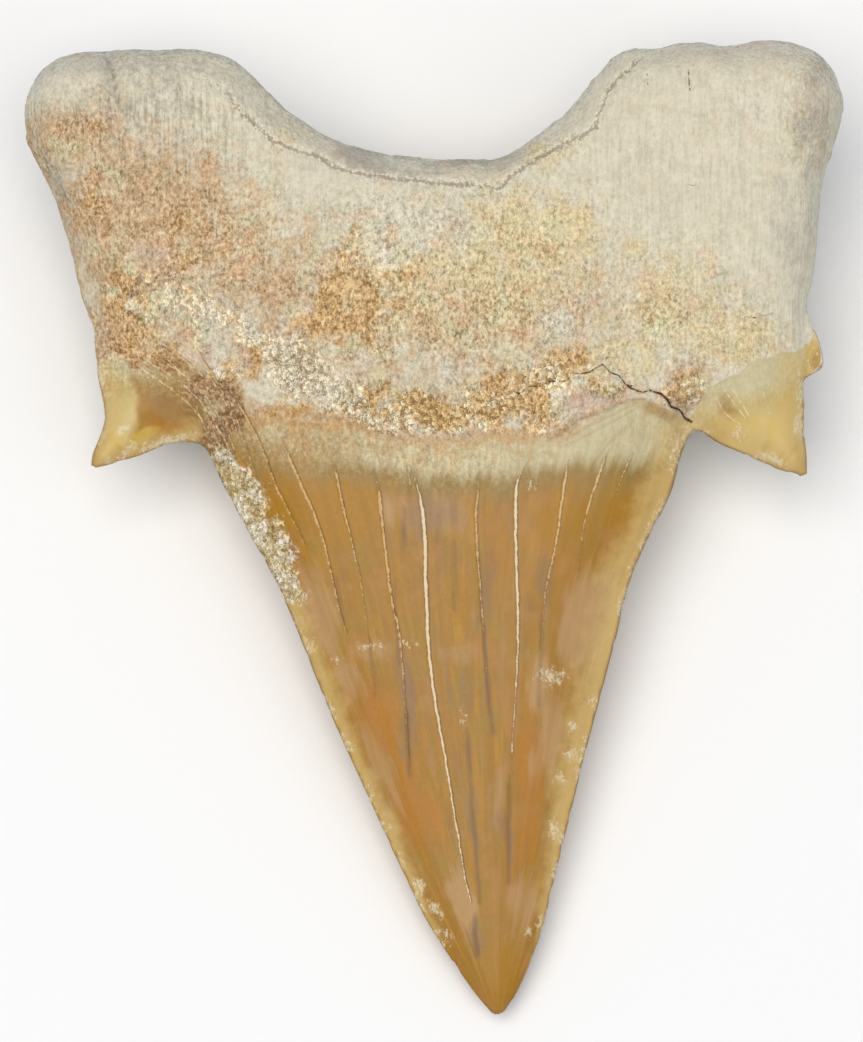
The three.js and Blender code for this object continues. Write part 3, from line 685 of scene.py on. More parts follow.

# %% [markdown]
# ## Tints of the enamel
# Enamel lets a little of the dentine below show, so the amber isn't even: gold beside the foot, ember
# orange lower down, a pinkish fawn where the surface is worn, brown smoke in the middle, and honey yellow
# on the thin side cusps. Salt is a pale dust of grains left in hollows and along the worn edges, and one
# of its spots is a painted highlight, a glint on the left cusp.

# %% The tints
ENAMEL_TINTS = {
    "gold": [
        (-7.6, -3.4, 4, 3.8, -15, 1.2), (-11.6, -2.6, 2.6, 2.8, -25, 1.2), (15.4, -3.6, 2.3, 1.8, 20, 0.85),
        (10.6, -4.4, 3.6, 3, 0, 0.8), (2, -10.6, 1.7, 3.6, 5, 0.8), (-3.4, -9.5, 1.6, 4.5, 10, 0.5),
        (3.8, -33, 2.2, 5, 5, 0.5), (5.4, -41, 2.4, 3.6, 0, 0.8), (-6, -9.5, 1.6, 4, 15, 0.5),
    ],
    "ember": [
        (-4.4, -20.4, 2.2, 4.4, 20, 1), (-1.6, -27.6, 2.2, 5, 15, 0.9), (8, -24, 2.2, 5.6, -8, 0.8),
        (7, -30.5, 1.6, 4, -8, 0.7), (-11.4, -8.4, 1.6, 5.5, 25, 0.6), (5.4, -7, 2, 5, 0, 0.5),
        (0.8, -21.5, 2.5, 2.5, 0, 0.4), (-21.8, 4.4, 3, 2, 25, 1.1), (9.4, -8, 1.4, 3, -5, 0.6),
    ],
    "fawn": [
        (12.6, -12.6, 3.2, 5.6, -10, 1.1), (-9.4, -11.5, 2, 6, 20, 0.9), (-7, -17, 1.6, 3.6, 20, 0.6),
        (9.6, -21.5, 1.8, 6, -10, 0.8), (8.6, -17.2, 1.6, 3.4, 0, 0.7), (-4.4, -24.5, 1.6, 6, 22, 0.6),
        (0.4, -3.4, 3.8, 2.6, 0, 0.6), (-4, -3.4, 1.3, 2.4, 10, 0.4), (1.6, -15, 5.5, 1.2, 0, 0.35),
        (2.4, -35.6, 1.4, 4.4, 12, 0.8), (7.4, -35.5, 1.6, 4, -10, 0.6), (-5.4, -14.8, 3.6, 1.3, 0, 0.5),
        (5.4, -26, 1, 4.4, 0, 0.4),
    ],
    "smoke": [
        (4.5, -9.5, 1.3, 5.4, 2, 0.7), (9, -8.6, 1.3, 3.2, -5, 0.6), (-2.2, -19, 1.2, 5.4, 8, 0.9),
        (6, -30.4, 0.7, 3, 0, 0.9), (-2.3, -5.4, 0.9, 2.2, 5, 0.6), (2.6, -18.4, 2.6, 3, 0, 0.5),
        (-21, 5.4, 3, 2.2, -20, 0.9), (3.4, -29.5, 0.7, 6, 6, 0.6), (3.4, -38.4, 0.9, 2.4, 8, 0.6),
        (0.8, -6.4, 1.6, 2.4, 0, 0.4), (0, -3.6, 3.4, 2.6, 0, 0.8), (7, -4, 1.4, 2.4, 0, 0.4),
    ],
    "sun": [
        (-26.6, 2.2, 0.9, 1.8, -20, 0.8), (-24, 2.6, 2.4, 0.9, 35, 0.9), (27, 3.6, 3, 1.6, -20, 0.55),
        (28.6, 4.8, 1.2, 3, 10, 0.35), (24.6, 3.6, 1.6, 1, -20, 0.5), (31.8, 9.4, 1.6, 2.8, -12, 0.9),
    ],
    "honey": [(-26, 5, 2, 5, -8, 1.1), (27, 4.2, 5, 6, 15, 0.95), (32, 10, 1.8, 3.2, -12, 0.7)],
    "salt": [
        (9.5, -17, 1.9, 0.9, -8, 1.1), (2.7, -20.3, 0.5, 0.9, 0, 0.7), (12.9, -19.1, 0.9, 0.6, 20, 0.8),
        (11.6, -21.4, 0.9, 0.6, 20, 0.8), (11.2, -23.6, 0.8, 0.8, 0, 0.9), (10.3, -25.2, 0.7, 0.7, 0, 0.8),
        (9.9, -29.6, 1, 1.3, 40, 1.1), (7.8, -38, 0.7, 0.8, 0, 0.7), (-10.6, -14.6, 1, 0.9, 20, 0.9),
        (-8.6, -19.5, 0.8, 1.6, 25, 0.9), (-7.6, -22.6, 0.6, 1.3, 25, 0.9),
        (-5.4, -26.8, 0.6, 1.6, 25, 0.7), (-1, -34, 0.6, 1, 30, 1), (0, -36, 0.5, 1.2, 30, 1),
        (1.1, -38.2, 0.5, 1, 30, 0.8), (-5.2, -14.4, 1.4, 0.35, 0, 0.9), (-2.4, -14.2, 1.2, 0.3, 0, 0.7),
        # The spot at x -25.8, y 3.3 is a painted highlight: a glint on the left cusp's ridge.
        (-8.3, -15.5, 0.8, 0.35, 0, 0.9), (-25.8, 3.3, 0.4, 1.1, -40, 1.1), (24.9, 3, 1, 0.8, 0, 0.9),
        (27.6, 1, 1.8, 0.6, -25, 1), (30.2, 4, 0.7, 1.8, 0, 1), (-22, 2.2, 3.4, 0.8, 20, 1.1),
        (-25, 1.6, 0.6, 1.2, -30, 0.8), (19.6, 1.2, 0.9, 2.2, -10, 0.9), (8, -1.2, 0.8, 0.6, 0, 0.7),
        (-27.8, 7.6, 0.8, 3.6, 8, 0.8), (31.6, 9.6, 0.9, 2.6, -12, 0.4), (30.2, 6.6, 0.8, 2.4, 0, 0.9),
        (-12.6, -12.4, 1, 2, 25, 0.9),
    ],
}
print("spots:", {name: len(spots) for name, spots in ENAMEL_TINTS.items()})

# %% Lay the tints, the stuck sand and the worn border
EDGE_CRUST = [(-17, 0.6), (-15, -3), (-12.7, -7.6), (-11, -11.6)]  # sand stuck along the left cutting edge
EDGE_CRUST_WIDTH = 1.9  # mm
# The worn border's width, mm, at heights along the crown, and how much wider it is on the right
BORDER_YS, BORDER_WIDTHS = [-43, -40, -34, -26, -18], [-0.8, 0.2, 1.5, 2.0, 2.6]
RIGHT_YS, RIGHT_WIDENING = [-36, -26, -2], [0.0, 1.2, 1.8]
# On the inner face each tint shows where a broad noise passes its threshold.
INNER_TINTS = {"gold": 0.1, "ember": 0.2, "fawn": 0.15, "smoke": 0.35, "honey": 0.9, "sun": 0.9, "salt": 0.6}

streaming = drifting * (0.5, 0.25, 0) + places * (0.5, 0.75, 1)
for number, (name, spots) in enumerate(ENAMEL_TINTS.items()):
    threshold = INNER_TINTS[name]
    inner_tint = step(lumps(grain, 7.0, 3, (1, 3, 1), seed=20 + number), threshold, threshold + 0.35)
    field[name] = by_side(patches(streaming, spots), inner_tint)
gap, share = from_path(drifting * 0.6 + places * 0.4, EDGE_CRUST)
gap += 0.7 * lumps(places, 1.6, 4, seed=28)
field["edge_crust"] = outer * step(gap, EDGE_CRUST_WIDTH, 0.4 * EDGE_CRUST_WIDTH) * step(share, 1.0, 0.93)
right_side = step(places[:, 0], 2.0, 6.0)
border = np.interp(places[:, 1], BORDER_YS, BORDER_WIDTHS) + 0.8 * lumps(places, 3.0, 4, seed=27)
border += right_side * np.interp(places[:, 1], RIGHT_YS, RIGHT_WIDENING)
border = np.maximum(border, 0.05)
field["border"] = step(field["edge"], border, 0)
specks = step(lumps(places, 2.2, 3, seed=29), -0.15, 0.35) * step(field["edge"], 1.0, 0.2)
field["salt"] = np.maximum(field["salt"], 0.75 * outer * specks * step(places[:, 1], -42, -38))
print("widest worn border, mm:", round(float(border.max()), 1))

# %% [markdown]
# The lines become fields too: how deep inside a line each vertex lies, from 0 at its border to 1 on it.
# A crack's shadow is the same line moved a little to the right. How wide a crack is gets a field of its
# own, because wide cracks hold paler sand than narrow ones.

# %% Lines as fields
LINE_BORDER = 0.15  # mm beyond a line's half width where its field reaches 0
TAPER = 0.15  # the share of a line's length over which it comes to its full width
SHADOW_SHIFT = 0.07  # mm that a pale crack's shadow lies to the right of it
NARROW, WIDE = 0.14, 0.19  # half widths, mm, of a crack filled with tan and with pale sand


def inside_line(places, path, half_width, end_share=1.0):
    """1 on the line and 0 beyond its border. The line narrows to end_share of its width at its end."""
    gap, share = from_path(places, path)
    width = half_width * (1 + (end_share - 1) * share) * (0.3 + 0.7 * step(share, 0, TAPER))
    return np.clip(1 - gap / (width + LINE_BORDER), 0, 1) * np.clip(width / half_width, 0, 1) ** 0.5


def widest(places, lines):
    """How deep inside the nearest of the lines each place lies. Thin lines don't come up to 1."""
    return np.max([min(1, 0.75 + line[1]) * inside_line(places, *line) for line in lines], axis=0)


wavy = wavering(places)
field["pale_crack"] = outer * widest(wavy, PALE_CRACKS)
wide_lines = [np.interp(line[1], [NARROW, WIDE], [0, 1]) * inside_line(wavy, *line) for line in PALE_CRACKS]
field["crack_pale"] = outer * np.max(wide_lines, axis=0)
field["crack_shadow"] = outer * widest(wavy - (SHADOW_SHIFT, 0, 0), PALE_CRACKS)
for name, lines in (("hair", HAIRS), ("dark_streak", DARK_STREAKS)):
    shown = [strength * inside_line(wavy, path, width) for path, width, strength in lines]
    field[name] = outer * np.max(shown, axis=0)
torn_lines = [
    min(1, 0.5 + 2 * depth) * inside_line(wavy, path, width) for path, width, depth in OPEN_CRACKS
]
field["open_crack"] = outer * np.max(torn_lines, axis=0)
field["notch"] = outer * inside_line(drifting * 0.3 + places * 0.7, NOTCH_LINE, 0.45)
print("fields:", ", ".join(sorted(field)))

# %% [markdown]
# ## Relief
# Each field now lifts or sinks the surface along its normal, by fractions of a millimetre: the root's
# broad lumps and fibres, the crust's grains, raised chalk flakes, the cracks and pits. The enamel stays
# almost smooth, and the cutting edges are nicked.

# %% Lift and sink
# Heights of what stands out, mm
BROAD_LUMPS, SMALL_LUMPS, FIBRES, CRUST_LUMPS, FLAKES, WAVES_IN_ENAMEL = 0.22, 0.10, 0.05, 0.30, 0.10, 0.05
# Depths of what lies low, mm
PITS, NECK_DEPTH, CREASE_DEPTH, NOTCH_DEPTH, CRACK_DEPTH, STREAK_DEPTH, NICKS = (
    0.08, 0.12, 0.30, 0.16, 0.07, 0.03, 0.09,
)


def relief():
    """How far each vertex is lifted, mm."""
    root = 1 - field["enamel"]
    fibres = lumps(places, 0.7, 2, (0.5, 5, 1), seed=9)
    lift = BROAD_LUMPS * root * lumps(places, 9.0, 3, seed=10)
    lift += SMALL_LUMPS * root * lumps(places, 2.4, 3, (0.8, 1.5, 1), seed=11)
    lift += FIBRES * root * fibres
    lift += CRUST_LUMPS * field["crust"] * np.abs(lumps(places, 1.5, 3, seed=12))
    lift += FLAKES * root * step(field["chalk"] + 0.5 * lumps(places, 1.4, 3, seed=13), 0.45, 0.6)
    lift -= PITS * root * step(lumps(places, 1.1, 2, seed=14), 0.35, 0.6)
    lift += WAVES_IN_ENAMEL * field["enamel"] * lumps(grain, 5.0, 2, (0.6, 3, 1), seed=15)
    lift -= NECK_DEPTH * field["neck"]
    lift -= CREASE_DEPTH * outer * step(from_path(places, LOBE_CREASE)[0], 1.1, 0)
    lift -= NOTCH_DEPTH * field["notch"] * (0.7 + 0.5 * lumps(places, 0.8, 2, seed=16))
    lift -= CRACK_DEPTH * step(field["pale_crack"], 0.3, 0.8)
    lift -= STREAK_DEPTH * step(field["dark_streak"], 0.3, 0.8)
    depths = [deepest * inside_line(wavy, path, width) for path, width, deepest in OPEN_CRACKS]
    depth = np.max(depths, axis=0)
    lift -= outer * step(depth, 0.0, 0.5) * depth
    along_edges = field["enamel"] * step(field["edge"], 0.5, 0)
    lift -= NICKS * along_edges * step(lumps(places, 1.1, 3, seed=17), 0.15, 0.6)
    return lift


lift = relief()
places += lift[:, None] * read(mesh, "normal")
write(mesh, places)
print("relief, mm: from", round(lift.min(), 2), "to", round(lift.max(), 2))

# %% [markdown]
# ## Back to the frame
# The surface is finished, so its fields are stored as attributes for the material to read. The mesh then
# goes back from its own plane, in millimetres, to the frame, in metres. What relief pushed below the
# table top is pressed flat, because the tooth rests there.

# %% Store the fields and lay the tooth down
for name, values in sorted(field.items()):
    mesh.attributes.new(name, "FLOAT", "POINT").data.foreach_set("value", values.astype(np.float32))
for name, vectors in (("grain", grain), ("fold", fold)):
    flow = mesh.attributes.new(name, "FLOAT_VECTOR", "POINT")
    flow.data.foreach_set("vector", vectors.astype(np.float32).ravel())

mesh.transform(to_frame @ Matrix.Scale(MM, 4))
places = read(mesh)
below = places[:, 2] < 0
places[below, 2] = 0
write(mesh, places)
print("points pressed flat:", below.sum(), " attributes:", len(field) + 2)

# %% [markdown]
# ## Building materials from nodes
# A few helpers keep the node trees short: one places a node and fills or links its sockets, and the others
# do arithmetic. They all add to the tree that the name `tree` stands for.

# %% Place a node
def place(kind, sockets=(), output=0, **settings):
    """Adds a node to tree, fills or links its sockets, and returns one of its outputs."""
    made = tree.nodes.new(kind)
    for name, value in settings.items():
        setattr(made, name, value)
    for name, value in dict(sockets).items():
        if isinstance(value, bpy.types.NodeSocket):
            tree.links.new(value, made.inputs[name])
        else:
            made.inputs[name].default_value = value
    return made if output is None else made.outputs[output]


def calc(operation, *values):
    return place("ShaderNodeMath", enumerate(values), operation=operation)


def plus(first, second):
    return calc("ADD", first, second)


def between(value, start, end, low=0.0, high=1.0):
    """low where value is before start, high after end, smooth in between."""
    sockets = {"Value": value, "From Min": start, "From Max": end, "To Min": low, "To Max": high}
    return place("ShaderNodeMapRange", sockets, interpolation_type="SMOOTHSTEP")


kinds = [kind for kind in dir(bpy.types) if kind.startswith("ShaderNode")]
print("kinds of node to choose from:", len(kinds))

# %% [markdown]
# ## Groups for stains, grains and fibres
# Three effects come back all over the tooth, each at its own size and strength, so each is a node group.
#
# A mottled stain takes a soft field and breaks it into ragged islands with noise: where the field is
# strong the islands join up, where it is weak only specks are left. That is how mineral water stains
# porous bone. The noise comes from outside the group, so that several stains can share one.

# %% Group: mottled stain
FLOAT, VECTOR = "NodeSocketFloat", "NodeSocketVector"
NO_STAIN, SOME_STAIN = 0.0, 0.15  # the amounts between which specks come in, so that none lie far off


def start_group(name, sockets_in, sockets_out):
    """An empty node group with named sockets. Returns its tree, its inputs by name and its output node."""
    group = bpy.data.node_groups.new(name, "ShaderNodeTree")
    for socket_name, (kind, value) in sockets_in.items():
        socket = group.interface.new_socket(socket_name, in_out="INPUT", socket_type=kind)
        if value is not None:
            socket.default_value = value
    for socket_name in sockets_out:
        group.interface.new_socket(socket_name, in_out="OUTPUT", socket_type="NodeSocketFloat")
    inputs = group.nodes.new("NodeGroupInput")
    return group, inputs.outputs, group.nodes.new("NodeGroupOutput")


tree, given, result = start_group(
    "mottled_stain",
    {"Noise": (FLOAT, 0.5), "Amount": (FLOAT, 0.5), "Softness": (FLOAT, 0.1), "Spread": (FLOAT, 1.5)},
    ["Mask"],
)
around_zero = calc("SUBTRACT", given["Noise"], 0.5)
raised = calc("MULTIPLY_ADD", around_zero, given["Spread"], given["Amount"])
low_end = calc("SUBTRACT", 0.5, given["Softness"])
high_end = plus(0.5, given["Softness"])
ragged_mask = between(raised, low_end, high_end)
present = between(given["Amount"], NO_STAIN, SOME_STAIN)
tree.links.new(calc("MULTIPLY", ragged_mask, present), result.inputs["Mask"])
print("nodes in the group:", len(tree.nodes))

# %% [markdown]
# Crust is made of sand grains. A flat Voronoi texture divides the plane into cells, one for each grain of
# the outermost layer. The distance from a cell's middle gives the grain its round top and the dark gap
# around it, and the cell's own random colour makes each grain a little lighter or darker than the next.

# %% Group: sand grains
GAP_AT, TOP_AT = 0.9, 0.2  # distance from a grain's middle, in cells

tree, given, result = start_group(
    "sand_grains", {"Vector": (VECTOR, None), "Size": (FLOAT, 0.3)}, ["Dome", "Shade"]
)
sockets = {"Vector": given["Vector"], "Scale": calc("DIVIDE", 1.0, given["Size"])}
voronoi = place("ShaderNodeTexVoronoi", sockets, None, voronoi_dimensions="2D")
tree.links.new(between(voronoi.outputs["Distance"], GAP_AT, TOP_AT), result.inputs["Dome"])
own_colour = place("ShaderNodeSeparateColor", {"Color": voronoi.outputs["Color"]})
tree.links.new(own_colour, result.inputs["Shade"])
print("nodes in the group:", len(tree.nodes))

# %% [markdown]
# Bone and enamel both have a grain. In the root it is a bundle of upright fibres, in the crown it fans
# out from the tip. Noise stretched along one axis draws either of them, depending on the coordinates
# it is given.

# %% Group: fibres
FIBRE_FADE = (0.3, 0.7)  # the noise's values between which a fibre shows

tree, given, result = start_group(
    "fibres", {"Vector": (VECTOR, None), "Width": (FLOAT, 0.5), "Length": (FLOAT, 6.0)}, ["Value"]
)
across, along = (calc("DIVIDE", 1.0, given[side]) for side in ("Width", "Length"))
squeeze = place("ShaderNodeCombineXYZ", {"X": across, "Y": along, "Z": across})
stretched = place("ShaderNodeVectorMath", {0: given["Vector"], 1: squeeze}, operation="MULTIPLY")
sockets = {"Vector": stretched, "Scale": 1.0, "Detail": 3.0, "Roughness": 0.6}
strands = place("ShaderNodeTexNoise", sockets)
tree.links.new(between(strands, *FIBRE_FADE), result.inputs["Value"])
print("groups:", [group.name for group in bpy.data.node_groups])

# %% [markdown]
# ## The tooth's material
# One material covers the whole tooth, because bone runs into enamel without a seam. It is built up as
# the real thing was: clean bone, its fibres, the stains one over another, the speckle of open pores,
# then enamel over the crown with its tints, and last the lines.
#
# Stains change the hue softly, over millimetres. Pores, fibres and grains are much finer, and they only
# make the bone lighter or darker. Keeping the two apart is what makes it look like bone and not like
# coloured sand.
#
# Its coordinates are the object's own, turned by a Mapping node into the tooth's plane in millimetres.

# %% Start the material
finish = bpy.data.materials.new("fossil_tooth")
finish.use_nodes = True
tree = finish.node_tree
tree.nodes.clear()

object_place = place("ShaderNodeTexCoord", output="Object")
sockets = {
    "Vector": object_place,
    "Location": to_plane.translation / MM,
    "Rotation": to_plane.to_euler(),
    "Scale": (1 / MM, 1 / MM, 1 / MM),
}
plane = place("ShaderNodeMapping", sockets)
print("nodes so far:", len(tree.nodes))

# %% [markdown]
# Noise is the slowest part of a material, so a few noises are made once and shared, at the sizes of a
# pore, a fleck, a cloud and a streak. A noise's colour holds three unlike noises.

# %% Noises to share
def stored(name, output="Fac"):
    """A field of the mesh."""
    return place("ShaderNodeAttribute", output=output, attribute_name=name)


def noise_colour(vector, size, detail, roughness=0.65):
    sockets = {"Vector": vector, "Scale": 1 / size, "Detail": detail, "Roughness": roughness}
    return place("ShaderNodeTexNoise", sockets, "Color")


def split(cloud):
    """The three unlike noises that a noise's colour holds."""
    return list(place("ShaderNodeSeparateColor", {"Color": cloud}, output=None).outputs)


def joined(first, second):
    """Two noises of unlike size in one."""
    return calc("SUBTRACT", plus(first, second), 0.5)


def squeezed(vector, factors):
    return place("ShaderNodeVectorMath", {0: vector, 1: factors}, operation="MULTIPLY")


PORE_SIZE, FLECK_SIZE, CLOUD_SIZE, STREAK_SIZE = 0.32, 1.2, 2.4, 1.6  # mm
UPRIGHT, ALONG_GRAIN = (1, 0.7, 1), (1.0, 0.25, 1.0)  # how much noise is squeezed along each axis

grain_flow = stored("grain", "Vector")
crumple = noise_colour(squeezed(plane, UPRIGHT), PORE_SIZE, 2.0, 0.85)
pores = split(crumple)
flecks = split(noise_colour(plane, FLECK_SIZE, 2.0))
clouds = split(noise_colour(plane, CLOUD_SIZE, 1.5))
streaky = split(noise_colour(squeezed(grain_flow, ALONG_GRAIN), STREAK_SIZE, 2.0))
ragged = [joined(pore, fleck) for pore, fleck in zip(pores, flecks)]
print("nodes so far:", len(tree.nodes))

# %% [markdown]
# A stain is a colour laid over what lies below it through a mask, as paint goes through a stencil. Its
# mask comes from a field and a noise. Colours are written the way paint is mixed, from 0 to 255,
# and turned into the linear values that Blender works in.

# %% Colours and masks
def paint(red, green, blue):
    """A colour as seen on a screen, 0 to 255, in linear light, by the formula that screens use."""
    shares = [value / 255 for value in (red, green, blue)]
    return (*(share / 12.92 if share < 0.04045 else ((share + 0.055) / 1.055) ** 2.4 for share in shares), 1)


def lay_over(mask, under, over, blend="MIX"):
    """The colour over, where mask is 1, on the colour under."""
    factor, first, second, result = 0, 6, 7, 2  # the colour sockets of a Mix node
    sockets = {factor: mask, first: under, second: over}
    return place("ShaderNodeMix", sockets, result, data_type="RGBA", blend_type=blend)


def scaled(value, factor):
    return calc("MULTIPLY", value, factor)


def centred(noise_value, factor):
    """A noise around 0, times a factor."""
    return calc("MULTIPLY_ADD", noise_value, factor, -0.5 * factor)


def apply_group(name, output, **sockets):
    """A node group at work in this material. Sockets are given by name."""
    return place("ShaderNodeGroup", sockets, output, node_tree=bpy.data.node_groups[name])


def islands(noise_value, amount, softness=0.1, spread=1.5):
    """The mask of a mottled stain."""
    sockets = {"Noise": noise_value, "Amount": amount, "Softness": softness, "Spread": spread}
    return apply_group("mottled_stain", "Mask", **sockets)


def fibres_in(flow, width, length):
    """Fibres along a flow, with their width and length in mm."""
    return apply_group("fibres", "Value", Vector=flow, Width=width, Length=length)


print("a middle grey in linear light:", round(paint(128, 128, 128)[0], 3))

# %% [markdown]
# ### Bone
# Clean bone is a warm cream, greyer in broad clouds, with upright fibres showing on the lobes. The rims
# that turn away get painted shade, a cool grey. The stains lie over it from the palest to the darkest, and
# their hue wanders a little to pink and to green. Where the surface is stained it is also rough and full of
# open pores, which is why the speckle is tied to the field called grainy.

# %% Bone colour
BONE_STAINS = [
    # stain, its noise, softness, strength, colour
    ("straw", 2, 0.40, 0.90, paint(214, 195, 148)),
    ("tan", 0, 0.40, 0.90, paint(192, 160, 121)),
    ("rust", 1, 0.40, 0.90, paint(196, 155, 97)),
    ("lilac", 0, 0.35, 0.85, paint(198, 173, 156)),
    ("chalk", 2, 0.25, 0.80, paint(213, 205, 186)),
    # grey, partly a stain and partly painted shade on the rims and the notch's rim
    ("dusk", 1, 0.50, 0.75, paint(169, 162, 150)),
]
CREAM, GREY_CREAM = paint(218, 210, 188), paint(207, 200, 178)
NECK_BROWN, RIM_SHADE_GREY = paint(150, 124, 90), paint(212, 210, 201)
PINKISH, GREENISH = paint(206, 166, 126), paint(206, 203, 164)  # where the bone's hue wanders to
WANDERING = 0.75
RIM_SHADE_STRENGTH, NECK_STRENGTH = 0.7, 0.9


def drifts(noise_value, low=0.5, high=0.68):
    """Soft clouds of a noise, stronger where the bone is stained."""
    return scaled(between(noise_value, low, high, 0.0, WANDERING), grainy)


grainy = stored("grainy")
bone = lay_over(islands(flecks[1], 0.5, 0.45), CREAM, GREY_CREAM)
# Painted shade: a cool grey on the rims that turn away.
bone = lay_over(scaled(stored("rim"), RIM_SHADE_STRENGTH), bone, RIM_SHADE_GREY)
for name, number, softness, strength, stain_colour in BONE_STAINS:
    mask = islands(flecks[number], stored(name), softness, 1.1)
    bone = lay_over(scaled(mask, strength), bone, stain_colour)
bone = lay_over(drifts(clouds[0]), bone, PINKISH)
bone = lay_over(drifts(clouds[1]), bone, GREENISH)
bone = lay_over(scaled(stored("neck"), NECK_STRENGTH), bone, NECK_BROWN)
print("stains on the bone:", [stain[0] for stain in BONE_STAINS])

# %% [markdown]
# The crust is coloured grain by grain. Gold and white grains are mixed, white ones most where chalk is
# strong, and brown shows in the gaps between them. Fine detail comes in as tone, which makes a colour
# browner or paler: pores, fibres and grains each add to it.

# %% The crust on the bone
GRAIN_CONTRAST, SHADE_CONTRAST = 6.2, 0.7  # within the crust's grains, and from grain to grain
CRUST_GOLD, CRUST_WHITE, SEAM_BROWN = paint(222, 186, 124), paint(240, 228, 198), paint(186, 142, 84)
BROWN_SHADE, GLINT = (0.42, 0.35, 0.26, 1), (0.36, 0.32, 0.23, 1)
SAND_SHADE = (0.50, 0.37, 0.21, 1)  # the sand's own shade is warmer
GAP_BROWN = paint(150, 106, 54)  # between the grains of the crust
GRAIN_SIZE, CRUMPLING = 0.38, 1.2  # mm, and how far the grains are pushed out of round
SEAM_ON_BONE, CRUST_STRENGTH = 0.6, 0.85


def toned(colour, tone, shade=BROWN_SHADE):
    """Browner where the tone is below 0, paler where it is above."""
    colour = lay_over(scaled(tone, -1.0), colour, shade, "MULTIPLY")
    return lay_over(scaled(tone, 0.9), colour, GLINT, "ADD")


sockets = {0: crumple, 1: [CRUMPLING] * 3, 2: plane}
crumpled = place("ShaderNodeVectorMath", sockets, operation="MULTIPLY_ADD")
grains = apply_group("sand_grains", None, Vector=crumpled, Size=GRAIN_SIZE)
dome, grain_tone = grains.outputs["Dome"], grains.outputs["Shade"]
gaps = between(plus(dome, centred(pores[1], 0.8)), 0.46, 0.28)
grain_lift = plus(centred(grain_tone, SHADE_CONTRAST), centred(pores[0], GRAIN_CONTRAST))
crust = islands(ragged[0], stored("crust"), 0.3)
whiter = scaled(calc("SUBTRACT", stored("chalk"), stored("rust")), 0.7)
whiter = plus(whiter, centred(flecks[1], 1.6))
whiter = calc("MULTIPLY_ADD", grain_tone, 0.7, whiter)
white_share = between(whiter, 0.05, 0.65)
crust_colour = lay_over(white_share, CRUST_GOLD, CRUST_WHITE)
crust_colour = toned(crust_colour, grain_lift, SAND_SHADE)
gap_strength = scaled(gaps, between(whiter, 0.0, 0.8, 0.95, 0.6))
crust_colour = lay_over(gap_strength, crust_colour, GAP_BROWN)
seam = islands(flecks[2], stored("seam"), 0.4)
bone = lay_over(scaled(seam, SEAM_ON_BONE), bone, SEAM_BROWN)
print("grains, mm wide:", GRAIN_SIZE)

# %% [markdown]
# The bone's own tone comes from its pores, from thin dark ticks where pores are torn open, and from its
# upright fibres. The crust is laid over it.

# %% Pores and fibres of the bone
PORE_CONTRAST, FLECK_CONTRAST, TICK_WIDTH = 5.9, 1.5, 0.035
ROOT_FIBRES = (0.32, 5.5)  # width and length, mm


def ticks(noise_value, width):
    """Thin crooked lines, drawn where a noise crosses its middle value."""
    off_middle = calc("ABSOLUTE", calc("SUBTRACT", noise_value, 0.5))
    return between(off_middle, width, 0.0)


root_fibres = fibres_in(plane, *ROOT_FIBRES)
speckle = plus(centred(pores[2], PORE_CONTRAST), centred(flecks[0], FLECK_CONTRAST))
pore_ticks = scaled(ticks(pores[1], TICK_WIDTH), between(flecks[1], 0.40, 0.60, 0.0, -1.0))
bone_tone = scaled(plus(speckle, pore_ticks), grainy)
fibre_tone = scaled(between(root_fibres, 0.0, 0.7, -0.27, 0.05), stored("fibrous"))
bone = toned(bone, plus(bone_tone, fibre_tone))
bone = lay_over(scaled(crust, CRUST_STRENGTH), bone, crust_colour)
print("fibres, mm wide:", ROOT_FIBRES[0])

# %% [markdown]
# ### Enamel
# The amber gets its shades and tints as soft streaks that follow the crown's fan.

# %% Amber
AMBER = paint(158, 113, 34)
AMBER_SHADES = [
    # its noise, where it starts and is full, strength, colour
    (streaky[0], 0.50, 0.68, 0.6, paint(156, 118, 68)),
    (streaky[1], 0.50, 0.68, 0.6, paint(178, 128, 26)),
    (streaky[2], 0.54, 0.72, 0.5, paint(140, 102, 54)),
    (clouds[0], 0.48, 0.66, 0.5, paint(152, 120, 40)),
    (clouds[1], 0.48, 0.66, 0.5, paint(172, 122, 62)),
]
TINT_COLOURS = {
    "gold": (paint(162, 114, 13), 0.9),
    "ember": (paint(172, 112, 32), 0.8),
    "fawn": (paint(180, 142, 96), 0.8),
    "smoke": (paint(138, 106, 70), 0.7),
    "honey": (paint(206, 184, 122), 0.9),
    "sun": (paint(206, 170, 70), 0.75),
}

enamel = AMBER
for cloud, start, full, strength, shade in AMBER_SHADES:
    enamel = lay_over(between(cloud, start, full, 0.0, strength), enamel, shade)
for number, (name, (tint, strength)) in enumerate(TINT_COLOURS.items()):
    mask = islands(streaky[number % 3], stored(name), 0.35, 1.4)
    enamel = lay_over(scaled(mask, strength), enamel, tint)
print("shades:", len(AMBER_SHADES), " tints:", ", ".join(TINT_COLOURS))

# %% [markdown]
# At the crown's foot a pale band, where enamel is thinnest, gives way to an olive one before the amber
# starts. The worn border along the cutting edges is a paler tan. Fine tan fibres hang into the pale band
# from the seam above it, and its surface is chipped.

# %% Bands, border, stain and hanging fibres
OLIVE, PALE_ENAMEL, WORN_TAN, TEA = (
    paint(141, 117, 61), paint(195, 185, 147), paint(208, 178, 114), paint(160, 126, 66),
)
BORDER_STRENGTH, TEA_STRENGTH, SEAM_ON_ENAMEL = 0.7, 0.85, 0.55
BAND_FIBRES, STREAKS = (0.34, 3.4), (0.7, 9.0)  # width and length, mm
AMBER_STARTS = -2.8  # mm above the pale band's end

